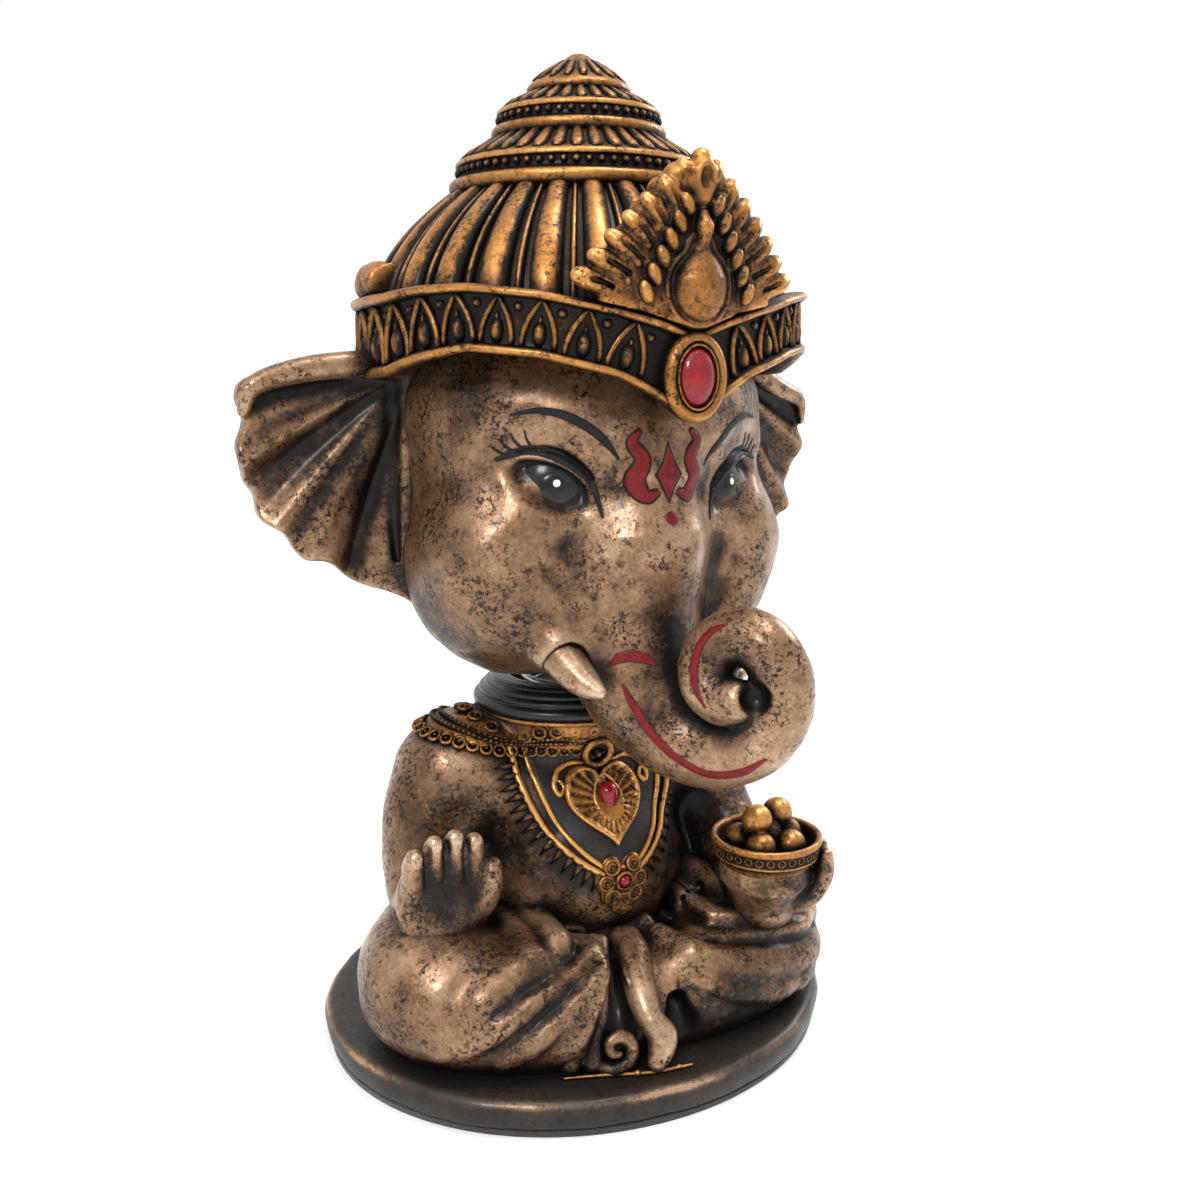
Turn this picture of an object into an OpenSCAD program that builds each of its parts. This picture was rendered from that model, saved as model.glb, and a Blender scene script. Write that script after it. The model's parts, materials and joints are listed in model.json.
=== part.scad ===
// Seated Ganesha with a sprung head: an oval plinth, a body casting dressed in jewellery,
// and a crowned head that nods, sways, turns and bounces on a coil spring.
// Millimetres. Origin: centre of the underside of the felt. The figure faces -Y, +Z is up,
// and the figure's own left hand is at +X.

/* [Base] */
// Width of the plinth, across the knees
base_w = 92; // [90:0.5:96]
// Depth of the plinth, front to back
base_d = 82; // [80:0.5:86]
// Height of the plinth, felt included
base_h = 6.2; // [6:0.1:7]
// Thickness of the felt under the plinth
felt_t = 0.8; // [0.5:0.1:1.2]

/* [Body] */
// Height of the collar seat, where the neck ring rests
neck_z = 57.5; // [57:0.5:58]
// Radius of the lowest step of the neck ring
neck_ring_r = 16.4; // [16:0.1:17]
// Thickness of the necklaces over the skin
necklace_t = 1.2; // [0.8:0.1:1.6]

/* [Bowl] */
// Radius of the bowl's rim
bowl_r = 9.4; // [9:0.1:10]
// Height of the bowl
bowl_h = 8.6; // [8:0.1:9]
// Radius of one sweet
sweet_r = 2.5; // [2:0.1:2.6]

/* [Spring] */
// Mean radius of the coil
coil_r = 6.6; // [6.4:0.1:6.8]
// Radius of the spring wire
wire_r = 0.8; // [0.6:0.1:0.9]
// Turns in the coil
coil_turns = 6; // [4:1:7]

/* [Head] */
// Radius of the pocket under the head
opening_r = 11.5; // [11:0.1:12]

/* [Crown] */
// Outer radius of the headband
band_r = 36; // [35.5:0.1:36.5]
// Ribs round the dome of the crown
dome_ribs = 26; // [20:2:30]
// Top of the crown
crown_top = 165; // [164:0.5:166]

/* [Hidden] */

round_fn = 26;          // facets of a rounded lump
small_fn = 12;          // facets of a finger or rim
head_y = -2;            // the crown's axis
neck_y = 4.5;           // the neck's and the spring's axis
edge_r = 1.4;           // rounding of the plinth's top edge
edge_steps = 3;         // steps of that rounding
bronze = [0.50, 0.37, 0.25];
gold = [0.72, 0.47, 0.20];
dark = [0.12, 0.11, 0.11];
red = [0.55, 0.05, 0.07];
steel = [0.70, 0.71, 0.73];

bowl_at = [23.5, -26, 29.6];            // centre of the bowl's foot
pendant_stone_at = [0, -14.9, 43.2];
pendant_stone_r = 1.8;
drop_stone_at = [0, -19.6, 28.8];
drop_stone_r = 1.2;
band_low = 116.4;                       // lower edge of the headband at the sides
band_high = 127.4;                      // its upper edge
dome_z = band_high - 1.2;               // foot of the dome
tier_z = 142.2;                         // underside of the lower tier
upper_tier_z = 151.4;                   // underside of the upper tier
finial_z = 158.2;                       // underside of the finial
roof_z = 83.2;                          // roof of the pocket under the head
plug_z = neck_z - 4;                    // floor of the recess in the neck
coil_low = plug_z + 3.3 + wire_r;       // first turn of the coil, at its centre line
coil_high = 78.6 - wire_r;              // last turn
screw_r = 1.4;
rib_r = 2.1;
screw_head_r = 3;

// ---- shared shapes ----

module ball(p, r, fn = round_fn) { translate(p) sphere(r = r, $fn = fn); }

// A tapering limb through points [x, y, z, radius].
module limb(points, fn = round_fn) {
    for (i = [0 : len(points) - 2])
        hull() {
            ball([for (k = [0 : 2]) points[i][k]], points[i][3], fn);
            ball([for (k = [0 : 2]) points[i + 1][k]], points[i + 1][3], fn);
        }
}

module at_neck(z) { translate([0, neck_y, z]) children(); }

module above(z) { translate([-100, -100, z]) cube([200, 200, 200]); }

// A flat outline drawn in X and Z, pushed forward from plane y0 by depth.
module front_plate(y0, depth) {
    translate([0, y0, 0]) rotate([90, 0, 0]) linear_extrude(depth) children();
}

module oval(w, d) { scale([1, d / w]) circle(d = w, $fn = 96); }

// ---- plinth ----

// Cut as a many-sided flat sheet, so that its underside is one true flat face.
module felt_pad() {
    rim = [for (a = [0 : 3 : 357]) [(base_w / 2 - 1) * cos(a), (base_d / 2 - 1) * sin(a)]];
    color(dark) linear_extrude(felt_t) polygon(rim);
}

// A straight wall on a slightly smaller foot, with the top edge eased in steps round a quarter circle.
module base_plinth() {
    wall_z = felt_t + 0.6;
    color(dark) {
        translate([0, 0, felt_t]) linear_extrude(1) oval(base_w - 4, base_d - 4);
        for (i = [0 : edge_steps]) {
            a = 90 * i / edge_steps;
            top = base_h - edge_r * (1 - sin(a));
            inset = edge_r * (1 - cos(a));
            translate([0, 0, wall_z]) linear_extrude(top - wall_z) oval(base_w - 2 * inset, base_d - 2 * inset);
        }
    }
}

// ---- body ----

// The trunk of the body, grown by g so that jewellery can follow it.
module torso_shape(g = 0) {
    hull() {
        ball([0, 3, 27], 19.5 + g);
        ball([0, 1, 30], 19 + g);
        ball([0, 4.5, 41], 14 + g);
        for (side = [-1, 1]) ball([side * 19, 5, 47.5], 9.5 + g);
    }
    at_neck(47) cylinder(r1 = 12 + g, r2 = 15.4 + g, h = neck_z - 47, $fn = 64);
}

module torso_solid() {
    difference() {
        intersection() {
            torso_shape();
            above(base_h);
        }
        above(neck_z);
        at_neck(plug_z) cylinder(r = 9.6, h = 20, $fn = 64);
    }
}

module torso() { color(bronze) torso_solid(); }

module legs_shape() {
    limb([[-13, 9, 17, 11.5], [-31, -10, 16, 12.6], [-18, -18.5, 13.5, 11.5], [4, -24, 12, 9.5]]);
    limb([[13, 9, 17, 11.5], [27.5, -17, 15, 12.4], [16, -22, 13, 11], [-2, -24, 12, 9.5]]);
    limb([[-16, 12, 13, 12], [16, 12, 13, 12], [4, -14, 12, 10], [-16, 12, 13, 12]]);
}

module legs_solid() {
    difference() {
        intersection() {
            legs_shape();
            above(base_h);
        }
        torso_shape();
    }
}

module legs_dhoti() { color(bronze) legs_solid(); }

module pleat_shape() {
    limb([[-6.5, -25, 16, 2.6], [-8.5, -29, 15, 3], [-11.5, -33, 8.6, 2.4]], small_fn);
    limb([[-6.5, -25, 16, 2.6], [-5, -30, 14, 2.4], [-6, -34, 8.6, 2.2]], small_fn);
    limb([[-5.5, -34.4, 9.4, 1.5], [-3, -35, 8.2, 1.7], [-0.8, -35, 9.6, 1.7], [-1.4, -34.6, 12, 1.5],
        [-3.4, -34.4, 12.2, 1.2]], small_fn);
}

module foot_shape() {
    limb([[0.5, -18, 19, 4.2], [1.6, -25, 18.6, 4.3], [3.4, -31, 15.4, 3.9], [3.2, -34.4, 11.2, 3.1],
        [1, -36, 8.7, 2.5]], small_fn);
}

module dhoti_pleat() {
    color(bronze) difference() {
        intersection() {
            pleat_shape();
            above(base_h);
        }
        torso_shape();
        legs_shape();
        foot_shape();
    }
}

module front_foot() {
    color(bronze) difference() {
        intersection() {
            foot_shape();
            above(base_h);
        }
        torso_shape();
        legs_shape();
    }
}

// ---- arms and hands ----

module right_hand_shape() {
    limb([[-28.2, -10.5, 29.5, 6.2], [-28.6, -12.5, 36, 6], [-28.2, -13, 35, 5.6]]);
    for (i = [0 : 3])
        limb([[-33.6 + 3.5 * i, -13.6 - 0.6 * i, 37, 2.3], [-33.4 + 3.4 * i, -15.2 - 0.5 * i, 41.6, 2.1]],
            small_fn);
    limb([[-23.6, -12.6, 30, 3], [-21.4, -14.4, 35.4, 2.2]], small_fn);
}

module right_arm_shape() {
    limb([[-24, 5, 44.5, 9.4], [-27, 4, 34, 8.8], [-27, 1, 27, 8.6], [-28, -7, 27.5, 7.4]]);
}

module right_arm() {
    color(bronze) difference() {
        right_arm_shape();
        torso_shape();
        legs_shape();
        right_hand_shape();
    }
}

module right_hand() {
    color(bronze) difference() {
        right_hand_shape();
        torso_shape();
        legs_shape();
    }
}

module bowl_outside() {
    translate(bowl_at) rotate_extrude($fn = 72)
        polygon([[0, 0], [4, 0], [6.6, 2], [7.8, 4], [8.3, 5.2], [bowl_r - 0.4, 6.2], [bowl_r, bowl_h],
            [0, bowl_h]]);
}

module left_hand_shape() {
    limb([[26, -17, 25, 5.6], [24.5, -24.5, 25.2, 5.2], [23.5, -27.5, 26, 4.8]]);
    for (i = [0 : 3])
        limb([[26 + 1.4 * i, -29.5 + 3.2 * i, 25.4, 2.3], [30.6 + 0.8 * i, -31.5 + 4.3 * i, 28.6, 2.1],
            [33 + 0.4 * i, -31.5 + 4.6 * i, 32.6, 1.9]], small_fn);
}

module left_arm_shape() {
    limb([[24, 5, 44.5, 9.2], [27, 3, 35, 8.4], [28, -3, 30, 7.8], [26.5, -15, 26, 6.4]]);
}

module left_arm() {
    color(bronze) difference() {
        left_arm_shape();
        torso_shape();
        legs_shape();
        left_hand_shape();
        bowl_outside();
    }
}

module left_hand() {
    color(bronze) difference() {
        left_hand_shape();
        legs_shape();
        torso_shape();
        bowl_outside();
    }
}

// ---- bowl of sweets ----

module offering_bowl() {
    wall = 1;
    color(gold) translate(bowl_at) rotate_extrude($fn = 72)
        polygon([[0, 0], [4, 0], [6.6, 2], [7.8, 4], [8.3, 5.2], [bowl_r - 0.4, 6.2], [bowl_r, bowl_h],
            [bowl_r - wall, bowl_h], [bowl_r - 1.6, 6.4], [7.2, 5.2], [5.6, 3], [3.4, 1.2], [0, 1.2]]);
}

module sweets() {
    lower_z = 6.4;
    upper_z = lower_z + 4.8;
    color(gold) translate(bowl_at) {
        for (i = [0 : 4]) rotate([0, 0, 72 * i]) translate([4.5, 0, lower_z]) sphere(r = sweet_r, $fn = 32);
        for (side = [-1, 1]) translate([side * 2.7, 0, upper_z]) sphere(r = sweet_r, $fn = 32);
    }
}

// ---- jewellery ----

// The collar covers the foot of the neck and the tops of the shoulders.
module collar_shape() {
    intersection() {
        torso_shape(necklace_t + 0.4);
        at_neck(48) linear_extrude(neck_z - 48) oval(58, 36);
    }
}

module collar() {
    color(gold) difference() {
        collar_shape();
        torso_shape(0.15);
        right_arm_shape();
        left_arm_shape();
    }
}

// A round strand from one side of the collar, down over the belly and back up.
module necklace_shape() {
    side_points = [[14.6, -5.3, 51], [14.2, -8.4, 46], [13, -10.9, 41.5], [10.6, -13.5, 37], [7, -16.3, 33.4],
        [3.4, -17.6, 31.6]];
    strand = concat([for (p = side_points) [-p[0], p[1], p[2], necklace_t]], [[0, -18, 31, necklace_t]],
        [for (i = [5 : -1 : 0]) [each side_points[i], necklace_t]]);
    limb(strand, small_fn);
}

module long_necklace() {
    color(gold) difference() {
        necklace_shape();
        torso_shape();
        collar_shape();
    }
}

heart_edge = [[0, -9.4, 46], [3.6, -8.4, 48], [6.6, -9.6, 46.4], [6.8, -12, 43], [4, -15.1, 39.4],
    [0, -17.2, 36.6], [-4, -15.1, 39.4], [-6.8, -12, 43], [-6.6, -9.6, 46.4], [-3.6, -8.4, 48]];

// A fan of pads from the middle of the heart to its edge.
module heart_pendant() {
    color(gold) difference() {
        for (i = [0 : len(heart_edge) - 1]) hull() {
            ball([0, -13.1, 43], 1.6, small_fn);
            ball(heart_edge[i], 1.3, small_fn);
            ball(heart_edge[(i + 1) % len(heart_edge)], 1.3, small_fn);
        }
        torso_shape();
        collar_shape();
        ball(pendant_stone_at, pendant_stone_r + 0.1);
    }
}

module pendant_stone() { color(red) ball(pendant_stone_at, pendant_stone_r); }

module drop_flower() {
    color(gold) difference() {
        union() {
            for (i = [-2 : 2]) ball([2.3 * sin(60 * i), -18.2, 28.8 - 2.3 * cos(60 * i)], 1.5, small_fn);
            ball([0, -18.2, 28.8], 1.9, small_fn);
            ball([0, -17.8, 25.2], 1.2, small_fn);
        }
        torso_shape();
        necklace_shape();
        ball(drop_stone_at, drop_stone_r + 0.1, 20);
    }
}

module drop_stone() { color(red) ball(drop_stone_at, drop_stone_r, 20); }

// ---- neck and spring ----

module neck_ring() {
    color(dark) at_neck(neck_z) rotate_extrude($fn = 96)
        polygon([[9.8, 0], [neck_ring_r - 1, 0], [neck_ring_r, 1], [neck_ring_r, 2.2], [14.8, 2.8],
            [14.8, 3.6], [13.2, 4.1], [13.2, 4.7], [12, 5.2], [11, 5.4], [9.8, 5.4]]);
}

module spring_plug() {
    color(dark) at_neck(plug_z) {
        cylinder(r = 9.4, h = 3, $fn = 64);
        cylinder(r = 5.2, h = 7.5, $fn = 48);
    }
}

module neck_spring() {
    rise = coil_high - coil_low;
    color(steel) at_neck(coil_low)
        linear_extrude(height = rise, twist = -360 * coil_turns, slices = 18 * coil_turns)
            translate([coil_r, 0]) scale([1, 1.9]) circle(r = wire_r, $fn = 7);
}

module spring_cap() {
    color(dark) difference() {
        union() {
            at_neck(coil_high + wire_r + 0.3) cylinder(r = 8.4, h = 1.3, $fn = 64);
            at_neck(74) cylinder(r = 5.2, h = 5, $fn = 48);
        }
        at_neck(73) cylinder(r = 3.5, h = 10, $fn = 48);
    }
}

module cap_washer() {
    color(steel) at_neck(81.4) difference() {
        cylinder(r = 5, h = 0.8, $fn = 48);
        translate([0, 0, -1]) cylinder(r = 1.9, h = 3, $fn = 32);
    }
}

module cap_screw() {
    color(steel) {
        at_neck(79) cylinder(r = screw_r, h = roof_z + 3.1 - 79, $fn = 32);
        at_neck(roof_z + 3.1) cylinder(r = screw_head_r, h = 1.8, $fn = 32);
    }
}

// ---- head ----

module head_outside() {
    hull() {
        for (side = [-1, 1]) {
            ball([side * 12.5, -5, 85.5], 19);
            ball([side * 6, -3, 104], 25.8);
            ball([side * 9, 2.5, 86], 18.4);
        }
        ball([0, -6.4, 103], 25.4);
        ball([0, -9, 78], 11.4);
        ball([0, 5, 81], 14.4);
    }
}

// The screw is cast into the resin above the pocket.
module head_shell() {
    color(bronze) difference() {
        head_outside();
        at_neck(60) cylinder(r = opening_r, h = roof_z - 60, $fn = 64);
        at_neck(roof_z - 1) cylinder(r = screw_r + 0.1, h = 4.5, $fn = 32);
        at_neck(roof_z + 3) cylinder(r = screw_head_r + 0.1, h = 2, $fn = 32);
    }
}

// The trunk curls in an upright plane turned to the figure's left; this places a point of that plane.
trunk_turn = 20;
function trunk_at(s, z, out, r) =
    [s * sin(trunk_turn) - out * cos(trunk_turn), -24 - s * cos(trunk_turn) - out * sin(trunk_turn), z, r];

trunk_path = [trunk_at(-4, 92, 0, 11), trunk_at(-2, 82, 0.5, 12.4), trunk_at(-1, 73, 0.8, 11.4),
    trunk_at(3, 65, 0.6, 9.4), trunk_at(10, 60.4, 0, 7), trunk_at(18, 60, -0.4, 5.6),
    trunk_at(24.4, 64.2, -0.4, 5), trunk_at(26.8, 70.4, 0, 4.4), trunk_at(25, 76.6, 0.4, 4),
    trunk_at(20.4, 78.6, 1.4, 3.9), trunk_at(16.4, 75.6, 3, 4.2), trunk_at(16.2, 71, 4.4, 4.3),
    trunk_at(19, 68.8, 5, 3.8), trunk_at(23, 69.6, 5, 3)];

module trunk_shape() { limb(trunk_path, 22); }

module trunk() {
    color(bronze) difference() {
        trunk_shape();
        head_outside();
    }
}

module tusk_shape(side) {
    limb([[side * 16, -19, 77, 4.4], [side * 14.6, -26, 72.5, 3.4], [side * 13, -31, 69.8, 1.9]], 20);
}

module tusk(side) {
    color(bronze) difference() {
        tusk_shape(side);
        head_outside();
        trunk_shape();
    }
}

module right_tusk() { tusk(-1); }
module left_tusk() { tusk(1); }

// One ear: a fan of thin webs from the root to the edge, with a rolled rim on top.
module ear(side, drop) {
    root_top = [29.5, 1, 114.6, 2.4];
    root_mid = [29, 2, 98, 2.6];
    root_low = [27, 2, 81.5, 2.6];
    rim = [[30, 1, 115, 2.6], [44, 0, 116 - drop, 2.5], [54.6, 0, 112.6 - drop, 2],
        [56.2, 1, 103 - drop, 1.3], [52.6, 3, 93.6 - drop, 1.3], [46, 4, 87 - drop, 1.3],
        [39, 3, 82.4, 1.6], [28.5, 2, 79.4, 2]];
    color(bronze) mirror([side < 0 ? 1 : 0, 0, 0]) difference() {
        union() {
            limb(rim, small_fn);
            for (i = [0 : len(rim) - 2]) hull() {
                for (p = [rim[i], rim[i + 1]]) ball([p[0], p[1], p[2]], 1.2, small_fn);
                ball([root_mid[0], root_mid[1] + 3, root_mid[2] - 4], 2.6, small_fn);
            }
            limb([root_top, root_mid, root_low], small_fn);
        }
        head_outside();
        translate([0, head_y, band_low - 2.6]) cylinder(r = band_r + 1, h = 30, $fn = 64);
    }
}

module right_ear() { ear(-1, 0); }
module left_ear() { ear(1, 3); }

// ---- crown ----

// Edge of the headband seen from the front: level at the sides, dipping to a point.
function band_edge(z, dip) = [[-50, z - 1], [-29, z + 0.6], [-16, z], [0, z - dip], [16, z], [29, z + 0.6],
    [50, z - 1]];

// Ring between two radii with the band's outline; the back half is level.
module band_ring(inner, outer, low, high, low_dip, high_dip) {
    translate([0, head_y, 0]) {
        intersection() {
            translate([0, 0, 100]) difference() {
                cylinder(r = outer, h = 34, $fn = 96);
                translate([0, 0, -1]) cylinder(r = inner, h = 36, $fn = 96);
            }
            union() {
                front_plate(0, 50) polygon(concat(
                    band_edge(low, low_dip), [for (i = [6 : -1 : 0]) band_edge(high, high_dip)[i]]));
                translate([-50, -0.01, low]) cube([100, 50, high - low]);
            }
        }
    }
}

module crown_band() {
    color(gold) difference() {
        union() {
            band_ring(band_r - 3.8, band_r, band_low, band_high, 8.2, 6.4);
            band_ring(band_r - 1, band_r + 1, band_high - 1.7, band_high, 6.4, 6.4);
            band_ring(band_r - 1, band_r + 1, band_low, band_low + 1.7, 8.2, 8.2);
        }
        bezel_seat(0.1);
    }
}

bezel_y = head_y - band_r + 0.6;

module bezel_seat(g = 0) {
    translate([0, bezel_y, 115.4]) rotate([90, 0, 0]) scale([1, 1.5, 1])
        cylinder(r = 4.6 + g, h = 4, $fn = 64);
}

module band_bezel() {
    color(gold) difference() {
        translate([0, bezel_y, 115.4]) rotate([90, 0, 0]) scale([1, 1.5, 1]) cylinder(r = 4.6, h = 2.4, $fn = 64);
        translate([0, bezel_y - 0.8, 115.4]) rotate([90, 0, 0]) scale([1, 1.5, 1])
            cylinder(r = 3, h = 4, $fn = 64);
    }
}

// An oval cabochon, domed in steps.
module band_stone() {
    steps = 4;
    color(red) translate([0, bezel_y - 0.8, 115.4]) rotate([90, 0, 0])
        for (i = [0 : steps - 1])
            linear_extrude(0.8 + 1.6 * sin(90 * (i + 1) / steps)) oval(5.8 * cos(75 * i / steps), 8.7 * cos(75 * i / steps));
}

function dome_r(z) = 17.5 + 14 * pow(cos(90 * (z - dome_z) / (tier_z - dome_z + 6)), 0.8);

dome_heights = [for (i = [0 : 4]) dome_z + (tier_z - dome_z) * i / 4];

// The dome's plain bulge, g larger than its radius.
module dome_bulge(g) {
    translate([0, head_y, 0]) rotate_extrude($fn = 60)
        polygon(concat([[0, dome_z]], [for (z = dome_heights) [dome_r(z) + g, z]], [[0, tier_z]]));
}

// The bulge with dome_ribs round ribs on it.
module crown_dome() {
    color(gold) difference() {
        union() {
            dome_bulge(0);
            translate([0, head_y, 0])
                for (k = [0 : dome_ribs - 1]) rotate([0, 0, (k + 0.5) * 360 / dome_ribs])
                    for (ends = [[dome_heights[0] + 2.4, dome_heights[2]], [dome_heights[2], dome_heights[3] + 1]])
                        hull() for (z = ends) ball([dome_r(z), 0, z], rib_r * dome_r(z) / dome_r(dome_z), 8);
        }
        hull() for (side = [-1, 1]) ball([side * 6, -3, 104], 25.9);
        ball([0, -6.4, 103], 25.5);
        translate([0, head_y, band_low]) difference() {
            cylinder(r = band_r + 2, h = band_high + 0.05 - band_low, $fn = 64);
            translate([0, 0, -1]) cylinder(r = band_r - 3.9, h = 30, $fn = 64);
        }
    }
}

// A rolled cloth round the back of the dome.
module crown_roll() {
    color(gold) difference() {
        translate([0, head_y, band_high + 3]) rotate([0, 0, 10])
            rotate_extrude(angle = 160, $fn = 72) translate([34, 0]) circle(r = 2.6, $fn = 32);
        dome_bulge(rib_r + 0.1);
    }
}

// A point of the crest's face, standing on the front of the band.
function crest_at(x, z, r) = [x, head_y - sqrt(37.4 * 37.4 - x * x), z, r];

// Five leaves a side rise to a point, round a large boss and a ball.
module crest_shape() {
    for (side = [-1, 1]) {
        limb([crest_at(side * 15, 128.2, 2), crest_at(side * 8, 126, 2.2), crest_at(0, 123, 2.2)], small_fn);
        for (i = [0 : 4])
            limb([crest_at(side * (14.4 - 2.9 * i), 129 + 3.2 * i, 2), crest_at(0, 128.6 + 3.4 * i, 2)], small_fn);
    }
    limb([crest_at(0, 138, 2.4), crest_at(0, 143, 1.8)], small_fn);
    limb([crest_at(0, 125.5, 3.6), crest_at(0, 129.5, 3)], small_fn);
    ball([0, head_y - 38.2, 135.4], 2.8, small_fn);
}

module crown_crest() {
    color(gold) difference() {
        crest_shape();
        bezel_seat(0.2);
        front_plate(0, 60) polygon(concat(band_edge(band_high + 0.05, 6.4), [[50, 60], [-50, 60]]));
    }
}

// A flared tier: a plain rim, a narrow groove, a bead line and a sloping fluted roof.
module tier(z, r, rise, top_r) {
    color(gold) translate([0, head_y, z]) rotate_extrude($fn = 96)
        polygon([[0, 0], [r - 1.6, 0], [r, 1], [r, 2.2], [r - 1, 2.8], [r - 1, 4], [r - 1.8, 4.8],
            [top_r, rise], [0, rise]]);
}

module crown_lower_tier() { tier(tier_z, 21, upper_tier_z - tier_z, 14.4); }
module crown_upper_tier() { tier(upper_tier_z, 14.4, finial_z - upper_tier_z, 8); }

module crown_finial() {
    h = crown_top - finial_z;
    color(gold) translate([0, head_y, finial_z]) rotate_extrude($fn = 72)
        polygon([[0, 0], [7.4, 0], [8.4, 0.8], [8.2, 2], [6.6, 3.2], [3.8, 5.2], [2, h - 0.6], [0.9, h], [0, h]]);
}

felt_pad();
base_plinth();
legs_dhoti();
dhoti_pleat();
front_foot();
torso();
right_arm();
right_hand();
left_arm();
left_hand();
offering_bowl();
sweets();
collar();
long_necklace();
heart_pendant();
pendant_stone();
drop_flower();
drop_stone();
neck_ring();
spring_plug();
neck_spring();
spring_cap();
cap_washer();
cap_screw();
head_shell();
trunk();
right_ear();
left_ear();
right_tusk();
left_tusk();
crown_band();
band_bezel();
band_stone();
crown_dome();
crown_roll();
crown_crest();
crown_lower_tier();
crown_upper_tier();
crown_finial();
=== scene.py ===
"""Seated Ganesha with a sprung, crowned head: the look of every piece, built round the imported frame.

Sizes in this file are in millimetres and are turned to metres where a mesh is made.
The figure faces -Y, +Z is up, and the figure's own left is +X.
"""

import json
import logging
import math
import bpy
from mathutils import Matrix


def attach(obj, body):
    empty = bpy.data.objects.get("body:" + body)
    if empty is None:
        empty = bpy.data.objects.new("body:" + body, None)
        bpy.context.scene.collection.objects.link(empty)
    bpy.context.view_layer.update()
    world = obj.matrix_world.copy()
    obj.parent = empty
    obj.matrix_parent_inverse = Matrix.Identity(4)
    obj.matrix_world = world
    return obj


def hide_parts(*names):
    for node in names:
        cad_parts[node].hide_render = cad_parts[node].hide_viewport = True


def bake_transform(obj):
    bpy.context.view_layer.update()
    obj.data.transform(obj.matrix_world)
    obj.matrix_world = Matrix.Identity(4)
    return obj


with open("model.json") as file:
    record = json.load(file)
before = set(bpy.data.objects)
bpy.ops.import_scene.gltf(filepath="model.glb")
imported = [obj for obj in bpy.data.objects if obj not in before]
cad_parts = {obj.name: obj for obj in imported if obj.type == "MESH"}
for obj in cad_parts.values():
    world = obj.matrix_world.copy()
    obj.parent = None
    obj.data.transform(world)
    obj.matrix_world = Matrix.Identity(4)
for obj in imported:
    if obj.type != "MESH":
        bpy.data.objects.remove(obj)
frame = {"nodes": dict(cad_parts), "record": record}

from copy import copy
from dataclasses import dataclass
from enum import Enum
from typing import Callable, Dict, List, Optional, Sequence, Tuple

import bmesh
import bpy
import numpy as np
import openvdb
from mathutils import Vector
from mathutils.bvhtree import BVHTree
from mathutils.geometry import delaunay_2d_cdt

MM = 0.001
NECK_Y = 4.5  # the neck stands this far behind the middle of the plinth
SIDES = ((-1, "right"), (1, "left"))
FULL_TURN = 2 * math.pi
log = logging.getLogger("ganesha")
Point = Sequence[float]
Grid = np.ndarray
Colour = Tuple[float, float, float]
Stops = Sequence[Tuple[float, Colour]]
Faces = List[Tuple[int, ...]]
Shape = Tuple[np.ndarray, Sequence[Sequence[int]], np.ndarray]
Rows = Tuple[List[np.ndarray], List[np.ndarray], List[np.ndarray]]
Window = Tuple[Tuple[slice, ...], Tuple[Grid, Grid, Grid]]
Region = Callable[[Grid, Grid, Grid], Grid]


class Body(Enum):
    """The moving bodies of the frame."""

    FIGURE = "figure"
    SPRING = "spring"
    CAP = "cap"
    WASHER = "washer"
    HEAD = "head"


# ---------------------------------------------------------------- finishes


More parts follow.
